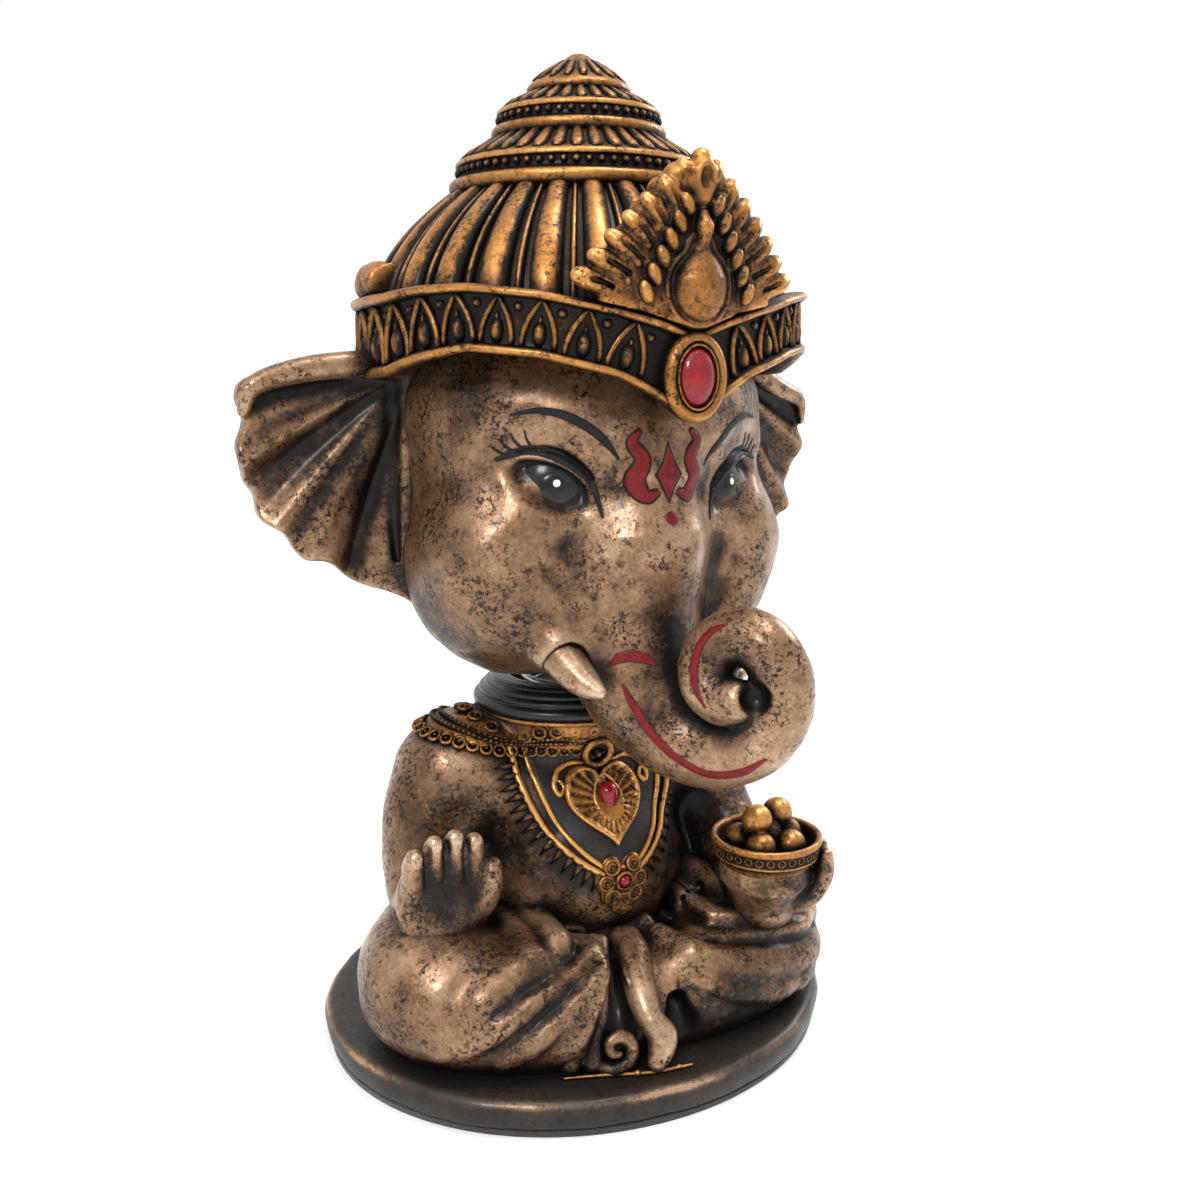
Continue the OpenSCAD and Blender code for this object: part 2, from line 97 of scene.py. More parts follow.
class Nodes:
    """A small helper that wires one material's node tree."""

    def __init__(self, name: str) -> None:
        """Makes the material and clears its tree.

        Args:
            name: the material's name.
        """
        self.material = bpy.data.materials.new(name)
        self.material.use_nodes = True
        self.tree = self.material.node_tree
        self.tree.nodes.clear()
        self.shader = self.add("ShaderNodeBsdfPrincipled")
        out = self.add("ShaderNodeOutputMaterial")
        self.tree.links.new(self.shader.outputs["BSDF"], out.inputs["Surface"])
        self.place = self.add("ShaderNodeTexCoord").outputs["Object"]

    def add(self, kind: str, **settings: object) -> bpy.types.Node:
        """Adds a node.

        Args:
            kind: the node's type name.
            **settings: properties of the node.

        Returns:
            The node.
        """
        node = self.tree.nodes.new(kind)
        for key, value in settings.items():
            setattr(node, key, value)
        return node

    def feed(self, node: bpy.types.Node, socket: object, value: object) -> None:
        """Links or sets one input.

        Args:
            node: the node that has the input.
            socket: the input's name or number.
            value: an output socket, or a constant.
        """
        if isinstance(value, bpy.types.NodeSocket):
            self.tree.links.new(value, node.inputs[socket])
        else:
            node.inputs[socket].default_value = value

    def math(self, operation: str, a: object, b: object = 0.0, clamp: bool = False) -> bpy.types.NodeSocket:
        """Adds a Math node.

        Args:
            operation: the operation's name.
            a: first input.
            b: second input.
            clamp: keep the result between 0 and 1.

        Returns:
            The result.
        """
        node = self.add("ShaderNodeMath", operation=operation, use_clamp=clamp)
        self.feed(node, 0, a)
        self.feed(node, 1, b)
        return node.outputs[0]

    def noise(
        self, scale: float, detail: float = 4.0, rough: float = 0.6, place: object = None
    ) -> bpy.types.NodeSocket:
        """Adds a noise pattern on the object's own coordinates.

        Args:
            scale: features per metre.
            detail: octaves.
            rough: strength of the finer octaves.
            place: coordinates, or None for the object's.

        Returns:
            The pattern, 0 to 1.
        """
        node = self.add("ShaderNodeTexNoise")
        self.feed(node, "Vector", self.place if place is None else place)
        self.feed(node, "Scale", scale)
        self.feed(node, "Detail", detail)
        self.feed(node, "Roughness", rough)
        return node.outputs["Fac"]

    def spread(
        self, value: object, low: float, high: float, to_low: float = 0.0, to_high: float = 1.0
    ) -> bpy.types.NodeSocket:
        """Maps a range smoothly to another.

        Args:
            value: the input.
            low: start of the input's range.
            high: end of it.
            to_low: result at the start.
            to_high: result at the end.

        Returns:
            The mapped value.
        """
        node = self.add("ShaderNodeMapRange", interpolation_type="SMOOTHSTEP")
        self.feed(node, "Value", value)
        for name, number in (("From Min", low), ("From Max", high), ("To Min", to_low), ("To Max", to_high)):
            self.feed(node, name, number)
        return node.outputs["Result"]

    def ramp(self, value: object, stops: Stops) -> bpy.types.NodeSocket:
        """Adds a colour ramp.

        Args:
            value: the input, 0 to 1.
            stops: places and colours.

        Returns:
            The colour.
        """
        node = self.add("ShaderNodeValToRGB")
        band = node.color_ramp
        while len(band.elements) < len(stops):
            band.elements.new(0.5)
        for element, (place, colour) in zip(band.elements, stops):
            element.position = place
            element.color = (*colour, 1.0)
        self.feed(node, "Fac", value)
        return node.outputs["Color"]

    def attribute(self, name: str) -> bpy.types.NodeSocket:
        """Reads a number stored on the mesh's points."""
        return self.add("ShaderNodeAttribute", attribute_type="GEOMETRY", attribute_name=name).outputs["Fac"]

    def bump(self, height: object, strength: float, distance: float) -> None:
        """Adds a bump to the shader.

        Args:
            height: the height pattern.
            strength: how strong it is.
            distance: its depth in metres.
        """
        node = self.add("ShaderNodeBump")
        self.feed(node, "Height", height)
        self.feed(node, "Strength", strength)
        self.feed(node, "Distance", distance)
        self.feed(self.shader, "Normal", node.outputs["Normal"])


@dataclass(frozen=True)
class Patina:
    """A bronze paint: dark wash in its hollows, painted shade where nearby surfaces block light, bright metal
    where rubbed.
    """

    name: str
    slot: str
    stops: Stops
    level: float = 0.55
    patches: float = 0.5
    grain: float = 0.42
    wash: float = 0.9
    rub: float = 0.5
    painted_occlusion_shade: float = 0.7
    metal: float = 0.6
    rough: Tuple[float, float] = (0.6, 0.34)
    coat: float = 0.12
    fleck: float = 0.5

    def make(self) -> bpy.types.Material:
        """Builds the material.

        Returns:
            The finished material.
        """
        n = Nodes(self.name)
        patch = n.math("SUBTRACT", n.noise(95.0, 3.0, 0.55), 0.5)
        grain = n.math("SUBTRACT", n.noise(1500.0, 2.5, 0.75), 0.5)
        cloud = n.math("SUBTRACT", n.noise(330.0, 4.0, 0.7), 0.5)
        # Painted shade: darkens the colour where nearby surfaces within 3.5 mm block light, scaled per
        # finish.
        shade = n.add("ShaderNodeAmbientOcclusion", samples=6)
        n.feed(shade, "Distance", 0.0035)
        hollow = n.math("MULTIPLY", n.math("SUBTRACT", 1.0, shade.outputs["AO"]), self.painted_occlusion_shade)
        tone = n.math("ADD", self.level, n.math("MULTIPLY", patch, self.patches))
        tone = n.math("ADD", tone, n.math("MULTIPLY", cloud, self.grain))
        tone = n.math("ADD", tone, n.math("MULTIPLY", grain, self.grain))
        specks = n.math(
            "MULTIPLY", n.spread(n.noise(1250.0, 3.0, 0.8), 0.50, 0.60),
            n.spread(n.noise(150.0, 4.0, 0.65), 0.44, 0.62)
        )
        smears = n.spread(n.noise(430.0, 4.0, 0.8), 0.55, 0.66)
        tone = n.math(
            "SUBTRACT", tone,
            n.math("MULTIPLY", n.math("ADD", specks, n.math("MULTIPLY", smears, 0.5)), self.fleck)
        )
        worn = n.math("ADD", 0.5, n.spread(n.noise(240.0, 5.0, 0.75), 0.38, 0.62))
        # The wash attribute holds dark wash in hollows and, on sculpted pieces, painted shade and painted
        # highlights from listed spots.
        tone = n.math(
            "SUBTRACT", tone, n.math("MULTIPLY", n.math("MULTIPLY", n.attribute("wash"), worn), self.wash)
        )
        tone = n.math("ADD", tone, n.math("MULTIPLY", n.attribute("rub"), self.rub))
        tone = n.math("SUBTRACT", tone, hollow, True)
        n.feed(n.shader, "Base Color", n.ramp(tone, self.stops))
        n.feed(n.shader, "Roughness", n.spread(tone, 0.1, 0.9, *self.rough))
        n.feed(n.shader, "Metallic", self.metal)
        n.feed(n.shader, "Specular IOR Level", 0.25)
        n.feed(n.shader, "Coat Weight", self.coat)
        n.feed(n.shader, "Coat Roughness", 0.22)
        n.bump(n.math("ADD", n.noise(900.0, 3.0), n.math("MULTIPLY", cloud, 1.2)), 0.16, 0.0004)
        return n.material


@dataclass(frozen=True)
class Enamel:
    """A glossy paint in one hue, a little uneven where it was brushed on."""

    name: str
    slot: str
    dark: Colour
    light: Colour
    rough: float = 0.2
    coat: float = 0.6

    def make(self) -> bpy.types.Material:
        """Builds the material.

        Returns:
            The finished material.
        """
        n = Nodes(self.name)
        n.feed(n.shader, "Base Color", n.ramp(n.noise(520.0, 3.0), ((0.3, self.dark), (0.7, self.light))))
        n.feed(n.shader, "Roughness", n.spread(n.noise(700.0), 0.3, 0.7, self.rough, self.rough + 0.12))
        n.feed(n.shader, "Specular IOR Level", 0.22)
        n.feed(n.shader, "Coat Weight", self.coat)
        n.feed(n.shader, "Coat Roughness", 0.08)
        n.bump(n.noise(420.0, 2.0), 0.1, 0.0003)
        return n.material


@dataclass(frozen=True)
class Steel:
    """Drawn spring steel, its tone, roughness and surface faintly uneven."""

    name: str
    slot: str

    def make(self) -> bpy.types.Material:
        """Builds the material.

        Returns:
            The finished material.
        """
        n = Nodes(self.name)
        n.feed(
            n.shader, "Base Color",
            n.ramp(n.noise(900.0, 4.0), ((0.3, (0.34, 0.34, 0.35)), (0.7, (0.55, 0.55, 0.57))))
        )
        n.feed(n.shader, "Metallic", 1.0)
        n.feed(n.shader, "Roughness", n.spread(n.noise(1600.0, 3.0), 0.3, 0.7, 0.22, 0.38))
        n.bump(n.noise(2500.0, 2.0), 0.08, 0.0001)
        return n.material


@dataclass(frozen=True)
class Felt:
    """Pressed felt, dull and slightly hairy."""

    name: str
    slot: str

    def make(self) -> bpy.types.Material:
        """Builds the material.

        Returns:
            The finished material.
        """
        n = Nodes(self.name)
        fibre = n.noise(2600.0, 5.0, 0.8)
        n.feed(
            n.shader, "Base Color",
            n.ramp(fibre, ((0.3, (0.008, 0.008, 0.008)), (0.75, (0.035, 0.032, 0.03))))
        )
        n.feed(n.shader, "Roughness", n.spread(fibre, 0.2, 0.8, 0.85, 1.0))
        n.feed(n.shader, "Sheen Weight", 0.3)
        n.bump(fibre, 0.6, 0.0004)
        return n.material


SKIN = Patina(
    "aged_bronze_skin",
    "bronze_skin",
    (
        (0.0, (0.005, 0.0035, 0.0028)),
        (0.22, (0.016, 0.0098, 0.0064)),
        (0.42, (0.078, 0.040, 0.020)),
        (0.62, (0.205, 0.115, 0.060)),
        (0.80, (0.320, 0.205, 0.125)),
        (1.0, (0.480, 0.340, 0.225)),
    ),
    level=0.545,
    patches=0.7,
    wash=1.1,
    painted_occlusion_shade=1.0,
    coat=0.2,
    rough=(0.6, 0.28),
)
GOLD = Patina(
    "rubbed_gold_bronze",
    "gold_bronze",
    (
        (0.0, (0.006, 0.004, 0.003)),
        (0.24, (0.022, 0.011, 0.004)),
        (0.44, (0.125, 0.050, 0.012)),
        (0.68, (0.315, 0.132, 0.029)),
        (1.0, (0.600, 0.310, 0.090)),
    ),
    level=0.54,
    patches=0.4,
    wash=1.2,
    painted_occlusion_shade=1.3,
    metal=0.7,
    fleck=0.42,
)
PLINTH_DARK = Patina(
    "dark_bronze_base",
    "dark_bronze",
    (
        (0.0, (0.006, 0.005, 0.005)),
        (0.35, (0.013, 0.011, 0.010)),
        (0.62, (0.035, 0.024, 0.017)),
        (0.85, (0.120, 0.070, 0.040)),
        (1.0, (0.300, 0.190, 0.110)),
    ),
    level=0.42,
    patches=0.4,
    grain=0.3,
    wash=0.6,
    rub=0.75,
    painted_occlusion_shade=0.4,
    metal=0.2,
    rough=(0.5, 0.36),
    coat=0.12,
    fleck=0.2,
)
NECK_DARK = Patina(
    "dark_glossy_neck", "dark_bronze",
    (
        (0.0, (0.004, 0.004, 0.004)), (0.5, (0.012, 0.012, 0.013)), (0.8, (0.035, 0.033, 0.032)),
        (1.0, (0.10, 0.08, 0.06))
    ),
    level=0.45, patches=0.3, grain=0.25, painted_occlusion_shade=0.3, metal=0.15, rough=(0.4, 0.25), coat=0.25
)
RED = Enamel("red_stone_gloss", "red_stone", (0.115, 0.002, 0.005), (0.24, 0.005, 0.009), 0.16, 0.35)
RED_PAINT = Enamel("red_painted_mark", "red_stone", (0.075, 0.002, 0.003), (0.160, 0.004, 0.006), 0.4, 0.0)
BLACK_PAINT = Enamel(
    "black_painted_line", "dark_bronze", (0.003, 0.0025, 0.0025), (0.008, 0.0065, 0.006), 0.5, 0.0
)
EYE_GREY = Enamel("grey_eye_gloss", "dark_bronze", (0.006, 0.007, 0.008), (0.014, 0.016, 0.018), 0.14, 0.12)
PUPIL = Enamel("black_pupil_gloss", "dark_bronze", (0.003, 0.003, 0.003), (0.006, 0.006, 0.007), 0.14, 0.15)
# A painted highlight: white for the dot on each eye that stands in for reflected light.
GLINT = Enamel("white_eye_dot", "dark_bronze", (0.78, 0.78, 0.76), (0.86, 0.86, 0.84), 0.3, 0.3)
STEEL = Steel("spring_steel_wire", "spring_steel")
FELT = Felt("dark_felt_pad", "dark_felt")


class Palette:
    """Makes each finish once and hands it out by name."""

    def __init__(self) -> None:
        """Starts with no materials made."""
        self.made: Dict[str, bpy.types.Material] = {}

    def get(self, finish: object) -> bpy.types.Material:
        """Gives a finish's material.

        Args:
            finish: one of the finishes above.

        Returns:
            The material, made on the first call.
        """
        if finish.name not in self.made:
            self.made[finish.name] = finish.make()
        return self.made[finish.name]


PALETTE = Palette()


# ---------------------------------------------------------------- mesh making


def unit(v: Point) -> np.ndarray:
    """Gives the direction of a vector, with length 1."""
    v = np.asarray(v, float)
    return v / np.linalg.norm(v)


def dress(
    name: str,
    points: np.ndarray,
    faces: Sequence[Sequence[int]],
    finish: object,
    body: Body,
    nodes: Sequence[str] = (),
    marks: Optional[Dict[str, np.ndarray]] = None,
) -> bpy.types.Object:
    """Makes a piece of points and faces, dresses it and puts it on its body.

    Args:
        name: the piece's name.
        points: N x 3 array in millimetres.
        faces: vertex numbers of each face.
        finish: the finish.
        body: the body that it rides on.
        nodes: CAD nodes that it stands for.
        marks: numbers stored at each point, by name.

    Returns:
        The object.
    """
    mesh = bpy.data.meshes.new(name)
    mesh.from_pydata((np.asarray(points) * MM).tolist(), [], [list(map(int, f)) for f in faces])
    mesh.validate()
    for key, values in (marks or {}).items():
        layer = mesh.attributes.new(key, "FLOAT", "POINT")
        layer.data.foreach_set("value", np.asarray(values, np.float32))
    piece = bpy.data.objects.new(name, mesh)
    bpy.context.scene.collection.objects.link(piece)
    return settle(piece, finish, body, nodes)


def settle(
    piece: bpy.types.Object, finish: object, body: Body, nodes: Sequence[str] = ()
) -> bpy.types.Object:
    """Gives a finished mesh its material and its body.

    Args:
        piece: the object.
        finish: the finish.
        body: the body that it rides on.
        nodes: CAD nodes that it stands for.

    Returns:
        The same object.
    """
    mesh = piece.data
    mesh.materials.clear()
    mesh.materials.append(PALETTE.get(finish))
    mesh.polygons.foreach_set("use_smooth", [True] * len(mesh.polygons))
    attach(piece, body.value)
    if nodes:
        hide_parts(*nodes)
    log.info("%s: %d faces on %s", piece.name, len(mesh.polygons), body.value)
    return piece


class Clay:
    """A block of sculpting clay, held as a grid of distances to its surface."""

    def __init__(self, low: Point, high: Point, step: float) -> None:
        """Starts an empty block.

        Args:
            low: lowest corner.
            high: highest corner.
            step: size of one cell.
        """
        self.low = np.asarray(low, np.float32)
        self.step = step
        self.count = np.ceil((np.asarray(high) - self.low) / step).astype(int) + 1
        self.grid = np.full(self.count, 8.0, np.float32)
        # Spots of painted shade (amount above zero) and painted highlight (amount below zero): x, y, z,
        # reach, amount.
        self.painted_shading_spots: List[Tuple[float, ...]] = []

    def window(self, low: Point, high: Point, pad: float) -> Window:
        """Cuts out the cells near a shape.

        Args:
            low: lowest corner of the shape.
            high: highest corner.
            pad: room kept round it.

        Returns:
            The slices, and the cells' coordinates as open grids.
        """
        first = np.clip(np.floor((np.asarray(low) - pad - self.low) / self.step).astype(int), 0, self.count)
        last = np.clip(
            np.ceil((np.asarray(high) + pad - self.low) / self.step).astype(int) + 1, 0, self.count
        )
        last = np.maximum(last, first)
        axes = [
            (np.arange(first[i], last[i], dtype=np.float32) * np.float32(self.step) + self.low[i])
            for i in range(3)
        ]
        shape = (axes[0][:, None, None], axes[1][None, :, None], axes[2][None, None, :])
        return tuple(slice(first[i], last[i]) for i in range(3)), shape

    def everywhere(self) -> Window:
        """Gives the window that holds every cell."""
        return self.window(self.low, self.low + self.count * self.step, 0)

    def like(self, grid: Grid) -> "Clay":
        """Gives a clean block of the same size that holds another grid."""
        twin = copy(self)
        twin.grid, twin.painted_shading_spots = grid, []
        return twin

    def merge(self, where: Tuple[slice, ...], new: Grid, soft: float, cut: bool = False) -> None:
        """Adds a shape to the clay, or cuts it away.

        Args:
            where: the cells.
            new: the shape's distances there.
            soft: width of the rounding where they meet.
            cut: take the shape away.
        """
        old = self.grid[where]
        if cut:
            old = -old
        if soft > 0:
            h = np.clip(0.5 + 0.5 * (old - new) / soft, 0, 1)
            out = old + (new - old) * h - soft * h * (1 - h)
        else:
            out = np.minimum(old, new)
        self.grid[where] = -out if cut else out

    def ball(
        self, centre: Point, radii: object, soft: float = 1.0, cut: bool = False,
        axes: Optional[np.ndarray] = None
    ) -> "Clay":
        """Adds or cuts a ball or an egg.

        Args:
            centre: its centre.
            radii: one radius, or three.
            soft: width of the rounding.
            cut: take it away.
            axes: rows are the egg's own directions.

        Returns:
            The clay.
        """
        r = np.ones(3) * np.asarray(radii, float)
        reach = float(r.max())
        where, (x, y, z) = self.window(
            np.asarray(centre) - reach, np.asarray(centre) + reach, soft + 3 * self.step
        )
        dx, dy, dz = x - centre[0], y - centre[1], z - centre[2]
        if axes is None:
            u, v, w = dx / r[0], dy / r[1], dz / r[2]
        else:
            u, v, w = [(a[0] * dx + a[1] * dy + a[2] * dz) / r[i] for i, a in enumerate(np.asarray(axes))]
        k = np.sqrt(u * u + v * v + w * w)
        if reach - r.min() < 1e-6:
            new = (k - 1) * reach
        else:
            k2 = np.sqrt((u / r[0]) ** 2 + (v / r[1]) ** 2 + (w / r[2]) ** 2)
            new = k * (k - 1) / np.maximum(k2, 1e-6)
        self.merge(where, new.astype(np.float32), soft, cut)
        return self

    def limb(
        self, points: Sequence[Point], soft: float = 1.0, cut: bool = False, join: float = 0.0
    ) -> "Clay":
        """Adds or cuts a tapering tube.

        Args:
            points: x, y, z, radius of each point.
            soft: width of the rounding against the clay.
            cut: take it away.
            join: rounding between the tube's own lengths.

        Returns:
            The clay.
        """
        p = np.asarray(points, np.float32)
        reach = float(p[:, 3].max())
        where, (x, y, z) = self.window(p[:, :3].min(0) - reach, p[:, :3].max(0) + reach, soft + 3 * self.step)
        shape = tuple(s.stop - s.start for s in where)
        if min(shape) == 0:
            return self
        new = np.full(shape, 50.0, np.float32)
        origin = np.array([w.start for w in where])
        for a, b in zip(p[:-1], p[1:]):
            r = max(a[3], b[3]) + soft + 3 * self.step
            sub, (sx, sy, sz) = self.window(np.minimum(a[:3], b[:3]), np.maximum(a[:3], b[:3]), r)
            inner = tuple(slice(max(s.start - o, 0), s.stop - o) for s, o in zip(sub, origin))
            d = b[:3] - a[:3]
            length = float(d @ d) + 1e-9
            cx, cy, cz = sx - a[0], sy - a[1], sz - a[2]
            t = np.clip((cx * d[0] + cy * d[1] + cz * d[2]) / length, 0, 1)
            near = (
                np.sqrt((cx - t * d[0]) ** 2 + (cy - t * d[1]) ** 2 + (cz - t * d[2]) ** 2)
                - (a[3] + t * (b[3] - a[3]))
            )
            have = new[inner]
            near = near[: have.shape[0], : have.shape[1], : have.shape[2]]
            if join > 0:
                h = np.clip(0.5 + 0.5 * (have - near) / join, 0, 1)
                new[inner] = have + (near - have) * h - join * h * (1 - h)
            else:
                new[inner] = np.minimum(have, near)
        self.merge(where, new, soft, cut)
        return self

    def press(self, change: Region, low: Optional[Point] = None, high: Optional[Point] = None) -> "Clay":
        """Raises or sinks the surface by a pattern.

        Args:
            change: gives the height at x, y, z; above zero raises.
            low: lowest corner of the cells it works on, or None for the whole block.
            high: highest corner.

        Returns:
            The clay.
        """
        where, (x, y, z) = self.everywhere() if low is None else self.window(low, high, 0)
        self.grid[where] -= change(x, y, z).astype(np.float32)
        return self

    def keep(self, region: Region, soft: float = 0.0) -> "Clay":
        """Keeps only the clay inside a region.

        Args:
            region: distance to the region, below zero inside.
            soft: width of the rounding.

        Returns:
            The clay.
        """
        where, (x, y, z) = self.everywhere()
        cut = np.broadcast_to(-region(x, y, z), self.grid.shape).astype(np.float32)
        self.merge(where, cut, soft, True)
        return self

    def skin(self, thick: float, region: Region, sink: float = 0.5) -> "Clay":
        """Makes a layer over this clay's surface inside a region.

        Args:
            thick: height of the layer.
            region: distance to the region, below zero inside.
            sink: how far the layer goes below the surface.

        Returns:
            A new block holding the layer.
        """
        _, (x, y, z) = self.everywhere()
        side = np.broadcast_to(region(x, y, z), self.grid.shape)
        top = self.grid - thick
        ease = 0.6
        h = np.clip(0.5 - 0.5 * (side - top) / ease, 0, 1)
        rounded = side + (top - side) * h + ease * h * (1 - h)
        return self.like(np.maximum(rounded, -self.grid - sink).astype(np.float32))

    def sample(self, grid: Grid, points: np.ndarray) -> np.ndarray:
        """Reads a grid between its cells.

        Args:
            grid: the values.
            points: N x 3 places.

        Returns:
            The value at each place.
        """
        q = (points - self.low) / self.step
        base = np.clip(np.floor(q).astype(int), 0, self.count - 2)
        f = (q - base).astype(np.float32)
        out = np.zeros(len(points), np.float32)
        for i in (0, 1):
            for j in (0, 1):
                for k in (0, 1):
                    w = (
                        (f[:, 0] if i else 1 - f[:, 0]) * (f[:, 1] if j else 1 - f[:, 1])
                        * (f[:, 2] if k else 1 - f[:, 2])
                    )
                    out += w * grid[base[:, 0] + i, base[:, 1] + j, base[:, 2] + k]
        return out

    def blurred(self, reach: float) -> Grid:
        """Averages the clay over a cube, twice.

        Args:
            reach: half the cube's side.

        Returns:
            The averaged grid.
        """
        half = max(1, int(round(reach / self.step)))
        out = np.clip(self.grid, -reach, reach)
        for _ in range(2):
            for axis in range(3):
                out = np.moveaxis(out, axis, 0)
                padded = np.concatenate([np.repeat(out[:1], half + 1, 0), out, np.repeat(out[-1:], half, 0)])
                total = np.cumsum(padded, 0, dtype=np.float32)
                out = (total[2 * half + 1 :] - total[: -2 * half - 1]) / (2 * half + 1)
                out = np.moveaxis(out, 0, axis)
        return out

    def surface(self) -> Tuple[np.ndarray, np.ndarray]:
        """Meshes the clay.

        Returns:
            The points in millimetres, and the faces, outward.
        """
        vdb = openvdb.FloatGrid()
        band = 3 * self.step
        self.grid[[0, -1]] = band
        self.grid[:, [0, -1]] = band
        self.grid[:, :, [0, -1]] = band
        vdb.background = band
        vdb.copyFromArray(np.clip(self.grid, -band, band))
        points, triangles, quads = vdb.convertToPolygons(isovalue=0.0, adaptivity=0.0)
        points = np.asarray(points, np.float64) * self.step + self.low
        faces = np.asarray(quads, int)
        a, b, c = points[faces[:, 0]], points[faces[:, 1]], points[faces[:, 2]]
        if np.einsum("ij,ij->i", a, np.cross(b, c)).sum() < 0:
            faces = faces[:, ::-1]
        return points, faces

    def piece(
        self, name: str, finish: object, body: Body, nodes: Sequence[str] = (), bias: float = 0.0
    ) -> bpy.types.Object:
        """Fires the clay into a finished piece.

        Args:
            name: the piece's name.
            finish: its finish.
            body: the body that it rides on.
            nodes: CAD nodes that it stands for.
            bias: extra dark wash all over.

        Returns:
            The object.
        """
        points, faces = self.surface()
        fine = self.sample(self.blurred(1.0), points)
        wide = self.sample(self.blurred(3.2), points) / 3.2
        bend = 1.1 * fine + wide
        # Painted shading: the spots darken or lighten the colour where shade or light falls; it is added to
        # the wash.
        painted_shading = np.zeros(len(points))
        for x, y, z, reach, amount in self.painted_shading_spots:
            painted_shading += amount * np.exp(-((points - (x, y, z)) ** 2).sum(1) / reach**2)
        wash = np.clip(np.clip(-bend * 1.6 - 0.03 + bias, 0, 1) + 0.6 * painted_shading, -0.2, 1)
        rub = np.clip(bend * 1.1 - 0.12 - 2 * max(bias, 0), 0, 1)
        return dress(name, points, faces, finish, body, nodes, {"wash": wash, "rub": rub})


def curve(points: Sequence[Point], count: int) -> np.ndarray:
    """Runs a smooth line through points.

    Args:
        points: the points, of any number of values each.
        count: samples on each length.

    Returns:
        The samples.
    """
    p = np.asarray(points, float)
    p = np.vstack([2 * p[0] - p[1], p, 2 * p[-1] - p[-2]])
    t = np.linspace(0, 1, count, endpoint=False)[:, None]
    out = []
    for a, b, c, d in zip(p[:-3], p[1:-2], p[2:-1], p[3:]):
        out.append(
            0.5 * (2 * b + (c - a) * t + (2 * a - 5 * b + 4 * c - d) * t**2 + (3 * b - a - 3 * c + d) * t**3)
        )
    return np.vstack(out + [p[-2:-1]])


def outline_distance(x: Grid, z: Grid, corners: np.ndarray) -> Grid:
    """Distance to a closed flat outline.

    Args:
        x: first coordinates.
        z: second coordinates.
        corners: N x 2 corners in order.

    Returns:
        The distance, below zero inside.
    """
    c = np.asarray(corners, float)
    best = np.full(np.broadcast_shapes(x.shape, z.shape), 1e9)
    inside = np.zeros(best.shape, bool)
    for a, b in zip(c, np.roll(c, -1, 0)):
        e = b - a
        px, pz = x - a[0], z - a[1]
        t = np.clip((px * e[0] + pz * e[1]) / (e @ e + 1e-12), 0, 1)
        best = np.minimum(best, (px - t * e[0]) ** 2 + (pz - t * e[1]) ** 2)
        if abs(e[1]) > 1e-12:
            inside ^= ((z >= a[1]) != (z >= b[1])) & (px < e[0] * pz / e[1])
    return np.where(inside, -1, 1) * np.sqrt(best)


def wall(rings: int, around: int, closed: bool = False) -> Faces:
    """Joins rings of points with four-sided faces.

    Args:
        rings: how many rings there are.
        around: points in each ring.
        closed: join the last ring to the first.

    Returns:
        The faces.
    """
    faces: Faces = []
    for i in range(rings if closed else rings - 1):
        k = (i + 1) % rings
        for j in range(around):
            m = (j + 1) % around
            faces.append((i * around + j, i * around + m, k * around + m, k * around + j))
    return faces


def ring_points(wide: float, high: float, count: int) -> List[Tuple[float, float]]:
    """Gives the points of an oval, from its half width and half height."""
    turns = np.linspace(0, FULL_TURN, count, endpoint=False)
    return [(wide * math.cos(t), high * math.sin(t)) for t in turns]


def lathe(
    profile: Sequence[Point], turns: int, centre: Point = (0, 0), oval: float = 1.0
) -> Tuple[np.ndarray, np.ndarray]:
    """Turns an outline round the upright axis.

    Args:
        profile: radius and height of each point, starting and ending on the axis or closed on itself.
        turns: steps round the axis.
        centre: x and y of the axis.
        oval: depth over width.

    Returns:
        Points and four-sided faces.
    """
    p = np.asarray(profile, float)
    a = np.linspace(0, FULL_TURN, turns, endpoint=False)
    ring = np.stack(
        [
            centre[0] + p[:, 0, None] * np.cos(a),
            centre[1] + p[:, 0, None] * np.sin(a) * oval,
            np.repeat(p[:, 1, None], turns, 1),
        ],
        -1,
    )
    return ring.reshape(-1, 3), np.asarray(wall(len(p), turns, p[0, 0] > 1e-6))


def soften(profile: Sequence[Point], rounds: int = 2) -> np.ndarray:
    """Rounds the corners of an open outline by cutting them.

    Args:
        profile: the outline.
        rounds: how many times.

    Returns:
        The rounded outline, with the same ends.
    """
    p = np.asarray(profile, float)
    for _ in range(rounds):
        a, b = p[:-1], p[1:]
        mid = np.stack([a * 0.75 + b * 0.25, a * 0.25 + b * 0.75], 1).reshape(-1, p.shape[1])
        p = np.vstack([p[:1], mid, p[-1:]])
    return p


def tidy(piece: bpy.types.Object) -> bpy.types.Object:
    """Merges doubled points and turns faces outward.

    Args:
        piece: the object.

    Returns:
        The same object.
    """
    work = bmesh.new()
    work.from_mesh(piece.data)
    bmesh.ops.remove_doubles(work, verts=work.verts, dist=1e-6)
    bmesh.ops.recalc_face_normals(work, faces=work.faces)
    work.to_mesh(piece.data)
    work.free()
    return piece


